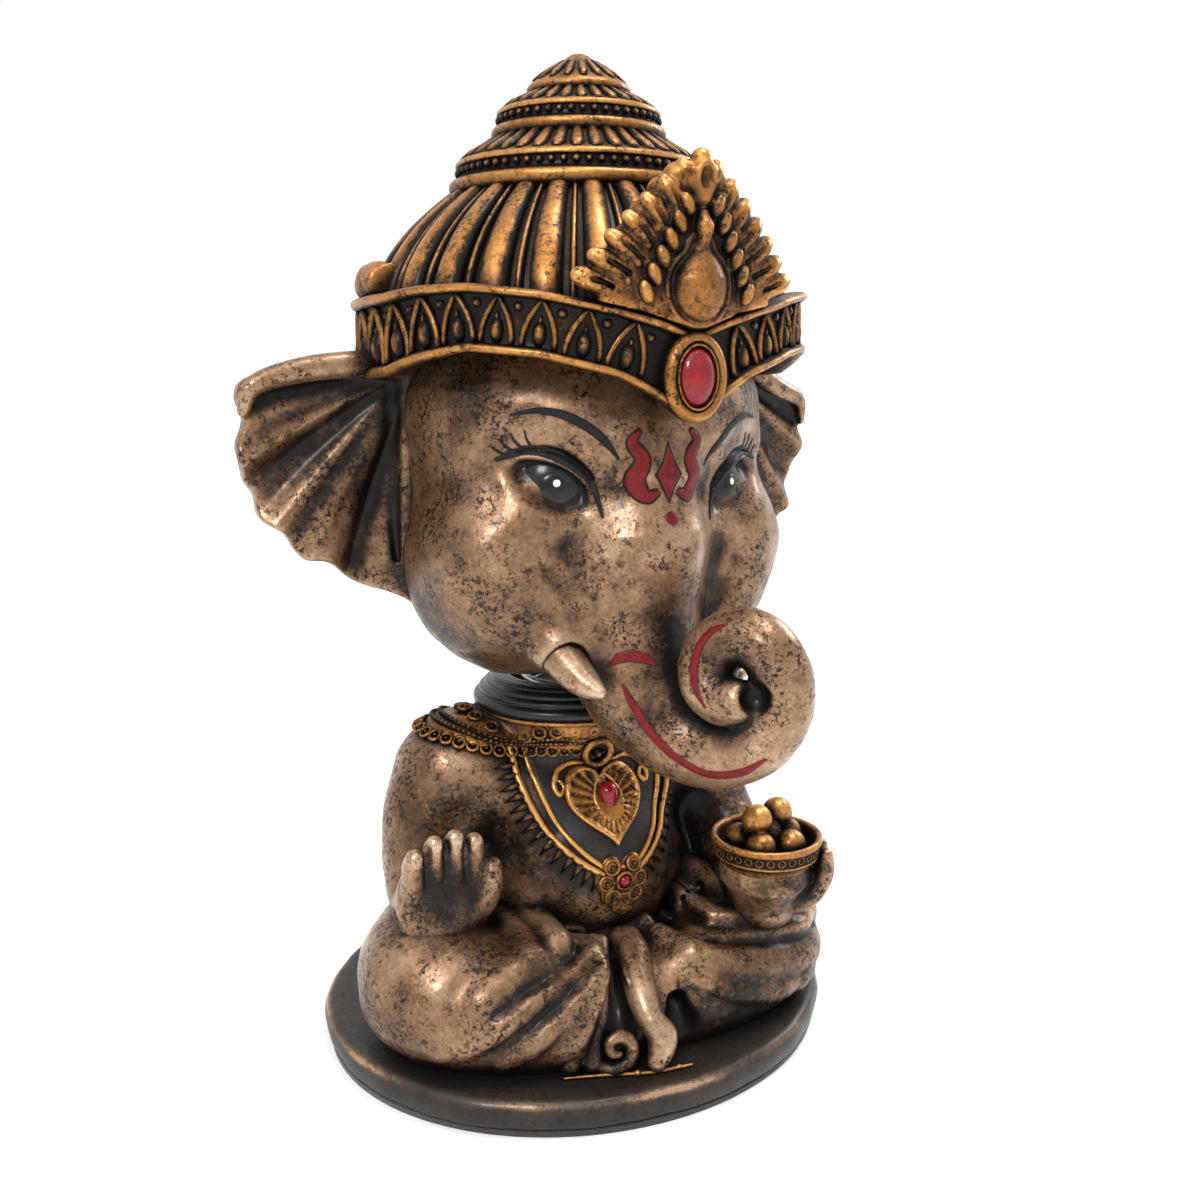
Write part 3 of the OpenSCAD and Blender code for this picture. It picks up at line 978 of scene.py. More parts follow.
def turned(
    name: str, profile: Sequence[Point], finish: object, body: Body, nodes: Sequence[str] = (),
    turns: int = 160, centre: Point = (0, 0), oval: float = 1.0, rounds: int = 2
) -> bpy.types.Object:
    """Makes a turned piece with its edges eased and its grooves washed dark.

    Args:
        name: the piece's name.
        profile: radius and height of each point.
        finish: its finish.
        body: the body that it rides on.
        nodes: CAD nodes that it stands for.
        turns: steps round the axis.
        centre: x and y of the axis.
        oval: depth over width.
        rounds: how much the corners are rounded.

    Returns:
        The object.
    """
    p = soften(profile, rounds)
    points, faces = lathe(p, turns, centre, oval)
    bend = np.zeros(len(p))
    before, after = unit_rows(p[1:-1] - p[:-2]), unit_rows(p[2:] - p[1:-1])
    bend[1:-1] = before[:, 0] * after[:, 1] - before[:, 1] * after[:, 0]
    bend = np.convolve(np.pad(bend, 2, mode="edge"), np.ones(5) / 5, "valid")
    wash = np.repeat(np.clip(-bend * 2.2, 0, 1), turns)
    rub = np.repeat(np.clip(bend * 2.0, 0, 0.8), turns)
    piece = dress(name, points, faces, finish, body, nodes, {"wash": wash, "rub": rub})
    return tidy(piece)


def unit_rows(v: np.ndarray) -> np.ndarray:
    """Gives each row of an array length 1."""
    return v / np.maximum(np.linalg.norm(v, axis=1, keepdims=True), 1e-9)


class Repeater:
    """A Geometry Nodes tree that sets one small shape at many places, each turned its own way."""

    def __init__(self) -> None:
        """Builds the tree with its named inputs."""
        tree = bpy.data.node_groups.new("set_small_shapes", "GeometryNodeTree")
        face = tree.interface
        face.new_socket("Places", in_out="INPUT", socket_type="NodeSocketGeometry")
        face.new_socket("Shape", in_out="INPUT", socket_type="NodeSocketObject")
        face.new_socket("Size", in_out="INPUT", socket_type="NodeSocketFloat")
        face.new_socket("Unevenness", in_out="INPUT", socket_type="NodeSocketFloat")
        face.new_socket("Finish", in_out="INPUT", socket_type="NodeSocketMaterial")
        face.new_socket("Pieces", in_out="OUTPUT", socket_type="NodeSocketGeometry")
        self.keys = {item.name: item.identifier for item in face.items_tree if item.in_out == "INPUT"}
        add = tree.nodes.new
        source, sink = add("NodeGroupInput"), add("NodeGroupOutput")
        link = tree.links.new
        info = add("GeometryNodeObjectInfo")
        link(source.outputs["Shape"], info.inputs["Object"])
        out_way, up_way, size = (add("GeometryNodeInputNamedAttribute") for _ in range(3))
        for node, kind, name in (
            (out_way, "FLOAT_VECTOR", "out_way"), (up_way, "FLOAT_VECTOR", "up_way"),
            (size, "FLOAT", "own_size")
        ):
            node.data_type = kind
            node.inputs["Name"].default_value = name
        first = add("FunctionNodeAlignRotationToVector")
        first.axis = "Z"
        link(out_way.outputs["Attribute"], first.inputs["Vector"])
        second = add("FunctionNodeAlignRotationToVector")
        second.axis, second.pivot_axis = "Y", "Z"
        link(first.outputs["Rotation"], second.inputs["Rotation"])
        link(up_way.outputs["Attribute"], second.inputs["Vector"])
        chance = add("FunctionNodeRandomValue")
        chance.data_type = "FLOAT"
        chance.inputs["Seed"].default_value = 11
        span = add("ShaderNodeMath")
        span.operation = "SUBTRACT"
        span.inputs[0].default_value = 1.0
        link(source.outputs["Unevenness"], span.inputs[1])
        floats = [s for s in chance.inputs if s.type == "VALUE"]
        link(span.outputs[0], floats[0])
        floats[1].default_value = 1.0
        whole = add("ShaderNodeMath")
        whole.operation = "MULTIPLY"
        link(source.outputs["Size"], whole.inputs[0])
        link(size.outputs["Attribute"], whole.inputs[1])
        final = add("ShaderNodeMath")
        final.operation = "MULTIPLY"
        link(whole.outputs[0], final.inputs[0])
        link(next(s for s in chance.outputs if s.type == "VALUE"), final.inputs[1])
        put = add("GeometryNodeInstanceOnPoints")
        link(source.outputs["Places"], put.inputs["Points"])
        link(info.outputs["Geometry"], put.inputs["Instance"])
        link(second.outputs["Rotation"], put.inputs["Rotation"])
        link(final.outputs[0], put.inputs["Scale"])
        real = add("GeometryNodeRealizeInstances")
        link(put.outputs["Instances"], real.inputs["Geometry"])
        paint = add("GeometryNodeSetMaterial")
        link(real.outputs["Geometry"], paint.inputs["Geometry"])
        link(source.outputs["Finish"], paint.inputs["Material"])
        link(paint.outputs["Geometry"], sink.inputs["Pieces"])
        self.tree = tree

    def place(
        self,
        name: str,
        shape: Shape,
        places: Sequence[Point],
        outs: Sequence[Point],
        ups: Sequence[Point],
        finish: object,
        body: Body,
        size: float = 1.0,
        sizes: Optional[Sequence[float]] = None,
        uneven: float = 0.0,
        nodes: Sequence[str] = (),
    ) -> bpy.types.Object:
        """Sets the shape at every place and makes the result a plain mesh.

        Args:
            name: the piece's name.
            shape: the small shape, +Z away from the surface and +Y up.
            places: where each goes, in millimetres.
            outs: which way each faces.
            ups: which way is up for each.
            finish: the finish.
            body: the body that it rides on.
            size: scale of all.
            sizes: scale of each.
            uneven: how much smaller a hand-made one may be.
            nodes: CAD nodes that it stands for.

        Returns:
            The object.
        """
        seed_mesh = bpy.data.meshes.new(name + "_shape")
        seed_mesh.from_pydata((np.asarray(shape[0]) * MM).tolist(), [], [list(map(int, f)) for f in shape[1]])
        for key, values in (("wash", shape[2]), ("rub", np.clip(0.35 - np.asarray(shape[2]), 0, 1))):
            seed_mesh.attributes.new(key, "FLOAT", "POINT").data.foreach_set(
                "value", np.asarray(values, np.float32)
            )
        seed = bpy.data.objects.new(name + "_shape", seed_mesh)
        mesh = bpy.data.meshes.new(name + "_places")
        mesh.from_pydata((np.asarray(places, float) * MM).tolist(), [], [])
        for key, values in (("out_way", outs), ("up_way", ups)):
            layer = mesh.attributes.new(key, "FLOAT_VECTOR", "POINT")
            layer.data.foreach_set("vector", np.asarray(values, np.float32).ravel())
        layer = mesh.attributes.new("own_size", "FLOAT", "POINT")
        layer.data.foreach_set(
            "value", np.asarray(np.ones(len(places)) if sizes is None else sizes, np.float32)
        )
        host = bpy.data.objects.new(name + "_host", mesh)
        for item in (seed, host):
            bpy.context.scene.collection.objects.link(item)
        modifier = host.modifiers.new("set", "NODES")
        modifier.node_group = self.tree
        modifier[self.keys["Shape"]] = seed
        modifier[self.keys["Size"]] = float(size)
        modifier[self.keys["Unevenness"]] = float(uneven)
        modifier[self.keys["Finish"]] = PALETTE.get(finish)
        bpy.context.view_layer.update()
        result = bpy.data.meshes.new_from_object(host.evaluated_get(bpy.context.evaluated_depsgraph_get()))
        for key in ("out_way", "up_way", "own_size"):
            if key in result.attributes:
                result.attributes.remove(result.attributes[key])
        host.modifiers.remove(modifier)
        bpy.data.objects.remove(host)
        bpy.data.objects.remove(seed)
        piece = bpy.data.objects.new(name, result)
        bpy.context.scene.collection.objects.link(piece)
        return settle(piece, finish, body, nodes)


REPEATER = Repeater()


def dome_shape(width: float, length: float, height: float, sides: int = 12, rings: int = 3) -> Shape:
    """Makes a low oval dome, closed underneath.

    Args:
        width: its width.
        length: its length, along +Y.
        height: its height.
        sides: points round it.
        rings: rings up it.

    Returns:
        Points, faces and wash.
    """
    a = np.linspace(0, FULL_TURN, sides, endpoint=False)
    rows, wash = [], []
    for i in range(rings):
        up = i / rings * math.pi / 2
        k = math.cos(up)
        rows.append(
            np.stack(
                [
                    0.5 * width * k * np.cos(a), 0.5 * length * k * np.sin(a),
                    np.full(sides, height * math.sin(up))
                ],
                1
            )
        )
        wash += [0.85 * (1 - i / rings) ** 1.5] * sides
    low = rows[0] - [0, 0, 0.35 * height]
    points = np.vstack([low] + rows + [[[0, 0, height]], [[0, 0, -0.35 * height]]])
    faces = wall(rings + 1, sides)
    top = (rings + 1) * sides
    for j in range(sides):
        m = (j + 1) % sides
        faces.append((rings * sides + j, rings * sides + m, top))
        faces.append((m, j, top + 1))
    return points, faces, np.array([0.9] * sides + wash + [0.0, 0.9])


def strip_shape(
    line: Sequence[Point], width: float, height: float, closed: bool = False, sides: int = 6
) -> Shape:
    """Makes a raised bead along a flat line, such as the outline of an arch.

    Args:
        line: x, y and width share of each point.
        width: the bead's width.
        height: its height.
        closed: join its ends.
        sides: points round the bead.

    Returns:
        Points, faces and wash.
    """
    p = np.asarray(line, float)
    n = len(p)
    if closed:
        way = np.roll(p[:, :2], -1, 0) - np.roll(p[:, :2], 1, 0)
    else:
        way = np.gradient(p[:, :2], axis=0)
    way = unit_rows(way)
    side = np.stack([way[:, 1], -way[:, 0]], 1)
    share = p[:, 2] if p.shape[1] > 2 else np.ones(n)
    a = np.linspace(0, FULL_TURN, sides, endpoint=False) + math.pi / sides
    points, wash = [], []
    for j in range(sides):
        off = 0.5 * width * math.cos(a[j]) * share
        up = height * math.sin(a[j]) * share
        points.append(np.column_stack([p[:, 0] + side[:, 0] * off, p[:, 1] + side[:, 1] * off, up]))
        wash.append(np.full(n, 0.0 if math.sin(a[j]) > 0.3 else 0.8))
    points, wash = np.stack(points, 1).reshape(-1, 3), np.stack(wash, 1).ravel()
    faces = wall(n, sides, closed)
    if not closed:
        faces.append(tuple(range(sides - 1, -1, -1)))
        faces.append(tuple((n - 1) * sides + j for j in range(sides)))
    shape = np.asarray(points)
    first = faces[0]
    normal = np.cross(shape[first[1]] - shape[first[0]], shape[first[2]] - shape[first[0]])
    if normal @ (shape[first[0]] - np.append(p[0, :2], 0.0)) < 0:
        faces = [f[::-1] for f in faces]
    return shape, faces, wash


def together(*shapes: Shape) -> Shape:
    """Puts small shapes together as one."""
    points, faces, wash, start = [], [], [], 0
    for p, f, w in shapes:
        points.append(p)
        wash.append(w)
        faces += [tuple(i + start for i in face) for face in f]
        start += len(p)
    return np.vstack(points), faces, np.concatenate(wash)


def moved(shape: Shape, by: Point) -> Shape:
    """Moves a small shape."""
    return shape[0] + np.asarray(by, float), shape[1], shape[2]


RING = strip_shape(ring_points(1, 1, 14), 0.62, 0.5, True)
BEAD = dome_shape(1.0, 1.0, 0.5, 8, 3)
DISC = together(RING, dome_shape(0.85, 0.85, 0.55, 8, 2))


@dataclass
class Decal:
    """Thin paint laid on a surface inside a flat outline."""

    target: BVHTree
    origin: Point
    across: Point
    upward: Point
    grid: float = 0.5
    lift: float = 0.09

    def lay(
        self, name: str, outline: Sequence[Point], finish: object, body: Body, lift: Optional[float] = None
    ) -> bpy.types.Object:
        """Lays one shape.

        Args:
            name: the piece's name.
            outline: corners in the decal's own plane, in order.
            finish: the paint.
            body: the body that it rides on.
            lift: height over the surface, or None for the decal's own.

        Returns:
            The object.
        """
        across, upward = unit(self.across), unit(self.upward)
        out = np.cross(across, upward)
        c = np.asarray(outline, float)
        fine = []
        for a, b in zip(c, np.roll(c, -1, 0)):
            n = max(1, int(np.linalg.norm(b - a) / self.grid))
            fine += [a + (b - a) * k / n for k in range(n)]
        edge = np.asarray(fine)
        xs = np.arange(c[:, 0].min(), c[:, 0].max(), self.grid)
        ys = np.arange(c[:, 1].min(), c[:, 1].max(), self.grid)
        gx, gy = np.meshgrid(xs, ys)
        far = outline_distance(gx, gy, c)
        inner = np.column_stack([gx[far < -0.45 * self.grid], gy[far < -0.45 * self.grid]])
        flat = np.vstack([edge, inner]) if len(inner) else edge
        ring = [(i, (i + 1) % len(edge)) for i in range(len(edge))]
        verts, _, faces, _, _, _ = delaunay_2d_cdt([Vector(p) for p in flat], ring, [], 1, 1e-6)
        flat = np.array([tuple(v) for v in verts])
        high = self.lift if lift is None else lift
        top, low = [], []
        for u, v in flat:
            start = np.asarray(self.origin) + across * u + upward * v + out * 25
            hit, normal, _, _ = self.target.ray_cast(Vector(start), Vector(-out), 60.0)
            if hit is None:
                hit, normal = Vector(start - out * 25), Vector(out)
            top.append(np.array(hit) + np.array(normal) * high)
            low.append(np.array(hit) - np.array(normal) * 0.25)
        n = len(flat)
        sides: Dict[Tuple[int, int], int] = {}
        out_faces = []
        for f in faces:
            if max(np.linalg.norm(top[i] - top[j]) for i, j in zip(f, list(f[1:]) + [f[0]])) > 6 * self.grid:
                continue
            a, b, d = (flat[i] for i in f[:3])
            if (b[0] - a[0]) * (d[1] - a[1]) - (b[1] - a[1]) * (d[0] - a[0]) < 0:
                f = f[::-1]
            out_faces.append(tuple(f))
            out_faces.append(tuple(i + n for i in f[::-1]))
            for i, j in zip(f, list(f[1:]) + [f[0]]):
                sides[(i, j)] = 1
        for i, j in sides:
            if (j, i) not in sides:
                out_faces.append((j, i, i + n, j + n))
        return dress(name, np.vstack([top, low]), out_faces, finish, body)


def stroke(line: Sequence[Point], count: int = 6) -> np.ndarray:
    """Turns a brush line into an outline.

    Args:
        line: x, y and half width of each point.
        count: samples between points.

    Returns:
        The outline's corners.
    """
    p = curve(line, count)
    way = unit_rows(np.gradient(p[:, :2], axis=0))
    side = np.stack([-way[:, 1], way[:, 0]], 1) * np.maximum(p[:, 2:3], 0.02)
    return np.vstack([p[:, :2] - side, (p[:, :2] + side)[::-1]])


def tree_of(piece: bpy.types.Object) -> BVHTree:
    """Gives a search tree of a piece's faces, in millimetres."""
    mesh = piece.data
    points = np.empty(len(mesh.vertices) * 3, np.float32)
    mesh.vertices.foreach_get("co", points)
    faces = [tuple(p.vertices) for p in mesh.polygons]
    return BVHTree.FromPolygons((points.reshape(-1, 3) / MM).tolist(), faces)


# ---------------------------------------------------------------- the head


@dataclass
class Head:
    """The head casting: skull, trunk, ears, tusks, and what is painted on the face."""

    step: float = 0.42
    eye: Tuple[float, float, float] = (15.9, -22.9, 97.9)
    neck_y: float = NECK_Y
    pocket_r: float = 11.5
    eye_back: float = 8.7
    eye_ball: float = 9.4
    eye_paint: float = 9.5

    def eye_frame(self, side: int) -> Tuple[np.ndarray, np.ndarray, np.ndarray, np.ndarray]:
        """Gives an eye's place and directions.

        Args:
            side: -1 for the right eye, 1 for the left.

        Returns:
            Centre, slit direction outward, upward, and out of the face.
        """
        centre = np.array([side * self.eye[0] + 0.5, self.eye[1], self.eye[2] - 0.7 * side])
        out = unit((side * 0.47, -0.88, 0.02))
        slit = np.array([side * 12.8, 4.4, 6.2])
        slit = unit(slit - out * (slit @ out))
        up = np.cross(out, slit) if side < 0 else np.cross(slit, out)
        return centre, slit, up * np.sign(up[2]), out

    def lid(
        self, side: int, rise: float, radius: float, out_by: float, width: float = 7.6
    ) -> List[Tuple[float, ...]]:
        """Gives one eyelid's line.

        Args:
            side: -1 right, 1 left.
            rise: height of its middle over the slit, below zero for the lower lid.
            radius: thickness.
            out_by: how far it stands out.
            width: half the slit's length.

        Returns:
            Points for a limb.
        """
        centre, slit, up, out = self.eye_frame(side)
        line = []
        for t in np.linspace(-1, 1, 15):
            bow = 1 - abs(t) ** 2.2
            away = out_by - 0.030 * (t * width) ** 2
            p = centre + slit * (t * width) + up * (rise * bow) + out * away
            line.append((*p, radius * (0.55 + 0.45 * bow)))
        return line

    def trunk_line(self) -> np.ndarray:
        """Gives the trunk's centre line, x, y, z, radius, curling to the figure's left."""
        turn = math.radians(20)
        path = (
            (-9, 99, 0, 6.0), (-5.5, 92, 0, 9.4), (-3.4, 83, 0.3, 11.4), (-2.0, 73, 0.6, 10.8),
            (3.2, 64.6, 0.5, 9.0), (10.6, 60.0, 0, 6.9), (18.2, 60.2, -0.3, 5.6), (24.2, 64.4, -0.4, 4.9),
            (26.8, 70.6, 0, 4.5), (24.9, 76.4, 0.6, 4.2), (20.4, 78.2, 1.8, 4.1), (16.6, 75.6, 3.1, 4.2),
            (16.3, 71.4, 4.2, 4.0), (19.2, 69.0, 4.8, 3.5), (22.6, 69.6, 5.0, 3.0)
        )
        line = [
            (s * math.sin(turn) - o * math.cos(turn), -24 - s * math.cos(turn) - o * math.sin(turn), z, r)
            for s, z, o, r in path
        ]
        return curve(line, 6)

    def sculpt(self) -> Clay:
        """Models the skull and the trunk as one casting.

        Returns:
            The clay.
        """
        c = Clay((-36, -60, 52), (36, 28, 132), self.step)
        for side in (-1, 1):
            c.limb([(side * 12.5, -5, 85.5, 18.6), (side * 6, -3, 104, 25.2)], 2.0)
            c.limb([(side * 9, 2.5, 86, 18), (side * 6, -2, 104, 25)], 2.0)
        c.limb([(-12.5, -5, 85.5, 18.6), (12.5, -5, 85.5, 18.6)], 3.0)
        c.limb([(0, -6.4, 103, 25.0), (0, -5, 90, 20)], 3.0)
        c.limb([(0, -9, 78, 11), (0, 5, 81, 14)], 4.0)
        for side in (-1, 1):
            centre, slit, up, out = self.eye_frame(side)
            c.ball(centre + out * 7.9 + up * 0.4, (12.2, 8.6, 10.0), 4.5, True, np.array([slit, up, out]))
            hollow = [(9.2, -31.6, 103, 1.0), (9.4, -31.0, 97, 2.3), (10.8, -31.6, 90, 1.4)]
            c.limb([(side * x, y, z, r) for x, y, z, r in hollow], 4.5, True)
            c.ball(centre - out * self.eye_back, self.eye_ball, 0.8)
            c.limb(self.lid(side, 4.5, 0.85, 1.0, 9.0), 0.9)
            c.limb(self.lid(side, 6.7, 0.8, 0.5, 9.8), 2.6)
            c.limb(self.lid(side, 5.6, 0.35, 1.3, 9.2), 0.9, True)
            c.limb(self.lid(side, -4.0, 0.7, 0.8, 8.8), 1.2)
            c.limb(self.lid(side, -5.6, 1.0, 0.1, 7.4), 3.6)
            cheek = [(20, -14.5, 88, 9.6), (17, -16, 82, 9.0)]
            c.limb([(side * x, y, z, r) for x, y, z, r in cheek], 6.0)
            sheath = [(17.5, -17, 80.5, 5.2), (15.6, -22.2, 76.6, 4.9), (14.9, -24.8, 74.6, 4.3)]
            c.limb([(side * x, y, z, r) for x, y, z, r in sheath], 3.0)
            c.ball((side * 14.3, -27.4, 72.6), 3.7, 1.2, True)
            c.limb(
                [
                    (side * 16.9, -26.6, 86, 0.6), (side * 12.6, -28.6, 80.5, 1.1),
                    (side * 10.6, -30.4, 76, 0.5)
                ],
                2.6, True
            )
        trunk = self.trunk_line()
        c.limb(trunk, 5.0, join=0.6)
        c.limb([(0, -24.5, 98, 5), (0, -25.4, 91, 8.6)], 6.0)
        tip = trunk[-1, :3]
        c.ball(tip + unit(tip - trunk[-3, :3]) * 3.2, 2.2, 0.8, True)
        for side in (-1, 1):
            c.limb([(side * 12, -17, 71.5, 0.9), (side * 6, -20, 66.5, 1.2), (0, -17, 65.6, 1.0)], 2.0, True)
        c.limb([(0, self.neck_y, 40, self.pocket_r), (0, self.neck_y, 83.2, self.pocket_r)], 1.0, True)
        c.press(lambda x, y, z: 0.10 * np.sin(x * 0.55 + np.sin(z * 0.31) * 2) * np.sin(z * 0.47 + y * 0.33))
        # Spots of painted shade (amount above zero) and painted highlight (amount below zero) on the face and
        # trunk.
        for side in (-1, 1):
            c.painted_shading_spots += [
                (side * 13, -27, 82, 5.5, -0.35), (side * 18, -23, 77.5, 4.0, 0.35),
                (side * 8.5, -29, 91, 4.5, -0.35), (side * 22, -18, 93, 6, -0.3),
                (side * 27, -6, 79, 6, 0.35), (side * 24, -16, 112, 4, 0.3), (side * 21, -24, 104, 4, -0.25),
                (side * 12, -29, 106, 5, -0.25)
            ]
        c.painted_shading_spots += [
            (0, -30, 96, 6, -0.3), (0, -33, 78, 5, 0.3), (-3, -34, 66, 5, 0.3), (2, -36, 60, 7, -0.25),
            (9, -46, 62, 5, -0.25), (0, -28, 113, 4, 0.2)
        ]
        return c

    def build(self) -> BVHTree:
        """Makes every piece of the head.

        Returns:
            A search tree of the face, for what is laid on it.
        """
        head = self.sculpt().piece("head_and_trunk", SKIN, Body.HEAD, ("head_shell", "trunk"))
        face = tree_of(head)
        for side, name in SIDES:
            self.eye_pieces(side, name)
            self.tusk(side, name)
            self.ear(side, name)
            self.lines(side, name, face)
        self.marks(face)
        return face

    def eye_pieces(self, side: int, name: str) -> None:
        """Lays the painted rim, iris and pupil on an eyeball, and a white dot as a painted highlight.

        Args:
            side: -1 right, 1 left.
            name: right or left.
        """
        centre, slit, up, out = self.eye_frame(side)
        middle = centre - out * self.eye_back
        reach = self.eye_paint

        def cap(
            label: str, at: Tuple[float, float], wide: float, high: float, raise_by: float, finish: object
        ) -> None:
            """Lays one round cap on the eyeball.

            Args:
                label: the piece's name.
                at: place along the slit and up.
                wide: half its width.
                high: half its height.
                raise_by: how far it stands over the eyeball.
                finish: its paint.
            """
            rows, turns = 8, 36
            points = []
            for depth in (0.0, -0.7):
                for i in range(rows + 1):
                    k = i / rows
                    for a in np.linspace(0, FULL_TURN, turns, endpoint=False):
                        u, v = at[0] + wide * k * math.cos(a), at[1] + high * k * math.sin(a)
                        w = math.sqrt(max(reach * reach - u * u - v * v, 0.0))
                        points.append(
                            middle + slit * u + up * v + out * (w + (raise_by * (1 - k**6)) + depth)
                        )
            faces = []
            n = (rows + 1) * turns
            for layer in (0, 1):
                for i in range(rows):
                    for j in range(turns):
                        m = (j + 1) % turns
                        q = [i * turns + j, (i + 1) * turns + j, (i + 1) * turns + m, i * turns + m]
                        faces.append([p + layer * n for p in (q if layer == 0 else q[::-1])])
            for j in range(turns):
                m = (j + 1) % turns
                faces.append([rows * turns + j, rows * turns + j + n, rows * turns + m + n, rows * turns + m])
            tidy(dress(label, np.array(points), faces, finish, Body.HEAD))

        cap(name + "_eye_rim", (-0.2, 0.1), 7.4, 4.6, 0.02, PUPIL)
        cap(name + "_iris", (-0.4, 0.2), 5.3, 4.5, 0.12, EYE_GREY)
        cap(name + "_pupil", (-0.4, 0.4), 2.3, 2.3, 0.22, PUPIL)
        # A painted highlight: a white dot on each eye in place of a reflection of the light.
        cap(name + "_eye_dot", (-0.4 + side * 0.3, 1.3), 0.66, 0.66, 0.32, GLINT)

    def tusk(self, side: int, name: str) -> None:
        """Makes a short tusk.

        Args:
            side: -1 right, 1 left.
            name: right or left.
        """
        line = curve(
            [
                (side * 16.0, -21, 77, 3.6), (side * 14.9, -26, 73.4, 3.25), (side * 13.6, -30.4, 70.6, 2.4),
                (side * 12.4, -33.6, 69.4, 1.0)
            ],
            6
        )
        low, high = line[:, :3].min(0) - 6, line[:, :3].max(0) + 6
        c = Clay(low, high, 0.25).limb(line, 0.5)
        c.piece(name + "_tusk_carved", SKIN, Body.HEAD, (name + "_tusk",))

    def ear(self, side: int, name: str) -> None:
        """Makes one fanned ear with its rolled rim and folds.

        Args:
            side: -1 right, 1 left.
            name: right or left.
        """
        drop = 0.0 if side < 0 else 3.0
        edge = np.array(
            [
                (26, 117), (36, 117.6), (46, 117 - drop), (54, 115 - drop), (56.2, 112 - drop),
                (55.4, 108.6 - drop), (56.6, 104.5 - drop), (55.6, 99.5 - drop), (53.8, 96.8 - drop),
                (53.2, 93 - drop), (49.8, 90.6 - drop), (47.2, 86.6 - drop), (43, 85.6 - drop * 0.6),
                (38.6, 82), (34, 80.4), (30, 78.6), (24, 80.5), (22, 100)
            ],
            float
        )
        edge = np.vstack([curve(edge[:-3], 4), edge[-3:]])
        c = Clay((18, -14, 74), (62, 14, 122), 0.36)

        def sheet(x: Grid, z: Grid) -> Grid:
            """Gives the middle of the ear's sheet at x, z."""
            angle = np.arctan2(z - 116, x - 28)
            far = np.sqrt((x - 28) ** 2 + (z - 116) ** 2)
            grow = np.clip((far - 4) / 26, 0, 1)
            folds = (
                1.5 * np.sin(angle * 10.5 + 1.1 + 0.03 * far) + 0.75 * np.sin(angle * 21 + 0.4 + far * 0.06)
                + 0.3 * np.sin(angle * 37 + far * 0.1)
            )
            return 1.6 + 0.045 * (x - 29) + folds * grow - 1.32 * np.exp(-((x - 57) / 6.0) ** 2)

        where, (x, y, z) = c.everywhere()
        flat = outline_distance(x[:, :, 0], z[0, 0][None, :], edge)[:, None, :]
        mid = sheet(x[:, :, 0], z[0, 0][None, :])[:, None, :]
        thick = 1.15 + 1.0 * np.clip((38 - x) / 14, 0, 1)
        a, b = np.abs(y - mid) - thick, flat + 0.8
        body = np.minimum(np.maximum(a, b), 0) + np.sqrt(np.maximum(a, 0) ** 2 + np.maximum(b, 0) ** 2) - 0.4
        c.grid[where] = body.astype(np.float32)
        top = [
            (27, -1.0, 116.4, 2.2), (36, -1.4, 116.8, 2.1), (46, -1.8, 116.0 - drop, 1.9),
            (53.4, -1.8, 113.8 - drop, 1.5), (55.2, -1.2, 110 - drop, 0.9)
        ]
        c.limb(curve(top, 5), 1.2)
        inner = [
            (29.0, -0.6, 114.6, 1.6), (29.6, -1.2, 106, 1.4), (29.8, -1.2, 96, 1.3), (29.4, -0.8, 86, 1.2),
            (28.6, -0.2, 79.8, 1.1)
        ]
        c.limb(curve(inner, 5), 2.2)
        crease = [
            (32.4, -0.6, 112.6, 0.4), (32.8, -1.2, 104, 0.6), (32.8, -1.0, 95, 0.6), (32, -0.4, 86, 0.4)
        ]
        c.limb(curve(crease, 5), 1.2, True)
        points, faces = c.surface()
        bend = 1.1 * c.sample(c.blurred(1.0), points) + 0.3 * c.sample(c.blurred(3.0), points) - 0.25
        # Painted shade over the middle of the ear's face.
        painted_shading = 0.24 * np.exp(-((points[:, 0] - 37) ** 2 / 55 + (points[:, 2] - 103) ** 2 / 190))
        marks = {"wash": np.clip(-bend * 0.95 + painted_shading, 0, 1), "rub": np.clip(bend * 0.9 - 0.1, 0, 1)}
        if side < 0:
            points, faces = points * [-1, 1, 1], faces[:, ::-1]
        else:
            points = points + np.maximum(points[:, :1] - 27, 0) * [-0.10, 0.30, -0.04]
        dress(name + "_ear_folded", points, faces, SKIN, Body.HEAD, (name + "_ear",), marks)

    def lines(self, side: int, name: str, face: BVHTree) -> None:
        """Paints a brow, the lash line and the lashes.

        Args:
            side: -1 right, 1 left.
            name: right or left.
            face: the face's search tree.
        """
        centre, slit, up, out = self.eye_frame(side)
        flip = 1 if np.cross(slit, up) @ out > 0 else -1
        decal = Decal(face, centre, flip * slit, up, 0.32)
        brow = [(-7.6, 8.4, 0.12), (-3.6, 10.4, 0.6), (1.6, 11.0, 0.62), (6.0, 10.0, 0.4), (9.6, 7.6, 0.1)]
        decal.lay(name + "_brow_line", stroke([(flip * u, v, w) for u, v, w in brow]), BLACK_PAINT, Body.HEAD)
        lash = [(-9.0, -0.4, 0.15), (-5.0, 3.7, 0.5), (0.2, 5.0, 0.75), (5.0, 4.1, 0.65), (9.0, 0.6, 0.2)]
        decal.lay(
            name + "_lash_line", stroke([(flip * u, v, w) for u, v, w in lash]), BLACK_PAINT, Body.HEAD, 0.18
        )
        for i, (u, v, du, dv) in enumerate(
            ((6.0, 3.8, 2.6, 1.4), (7.0, 2.8, 2.8, 0.9), (7.9, 1.8, 2.6, 0.4), (4.8, 4.6, 2.0, 1.9))
        ):
            hair = [
                (flip * u, v, 0.18), (flip * (u + du * 0.6), v + dv * 0.4, 0.14),
                (flip * (u + du), v + dv, 0.05)
            ]
            decal.lay(f"{name}_lash_{i + 1}", stroke(hair, 4), BLACK_PAINT, Body.HEAD)

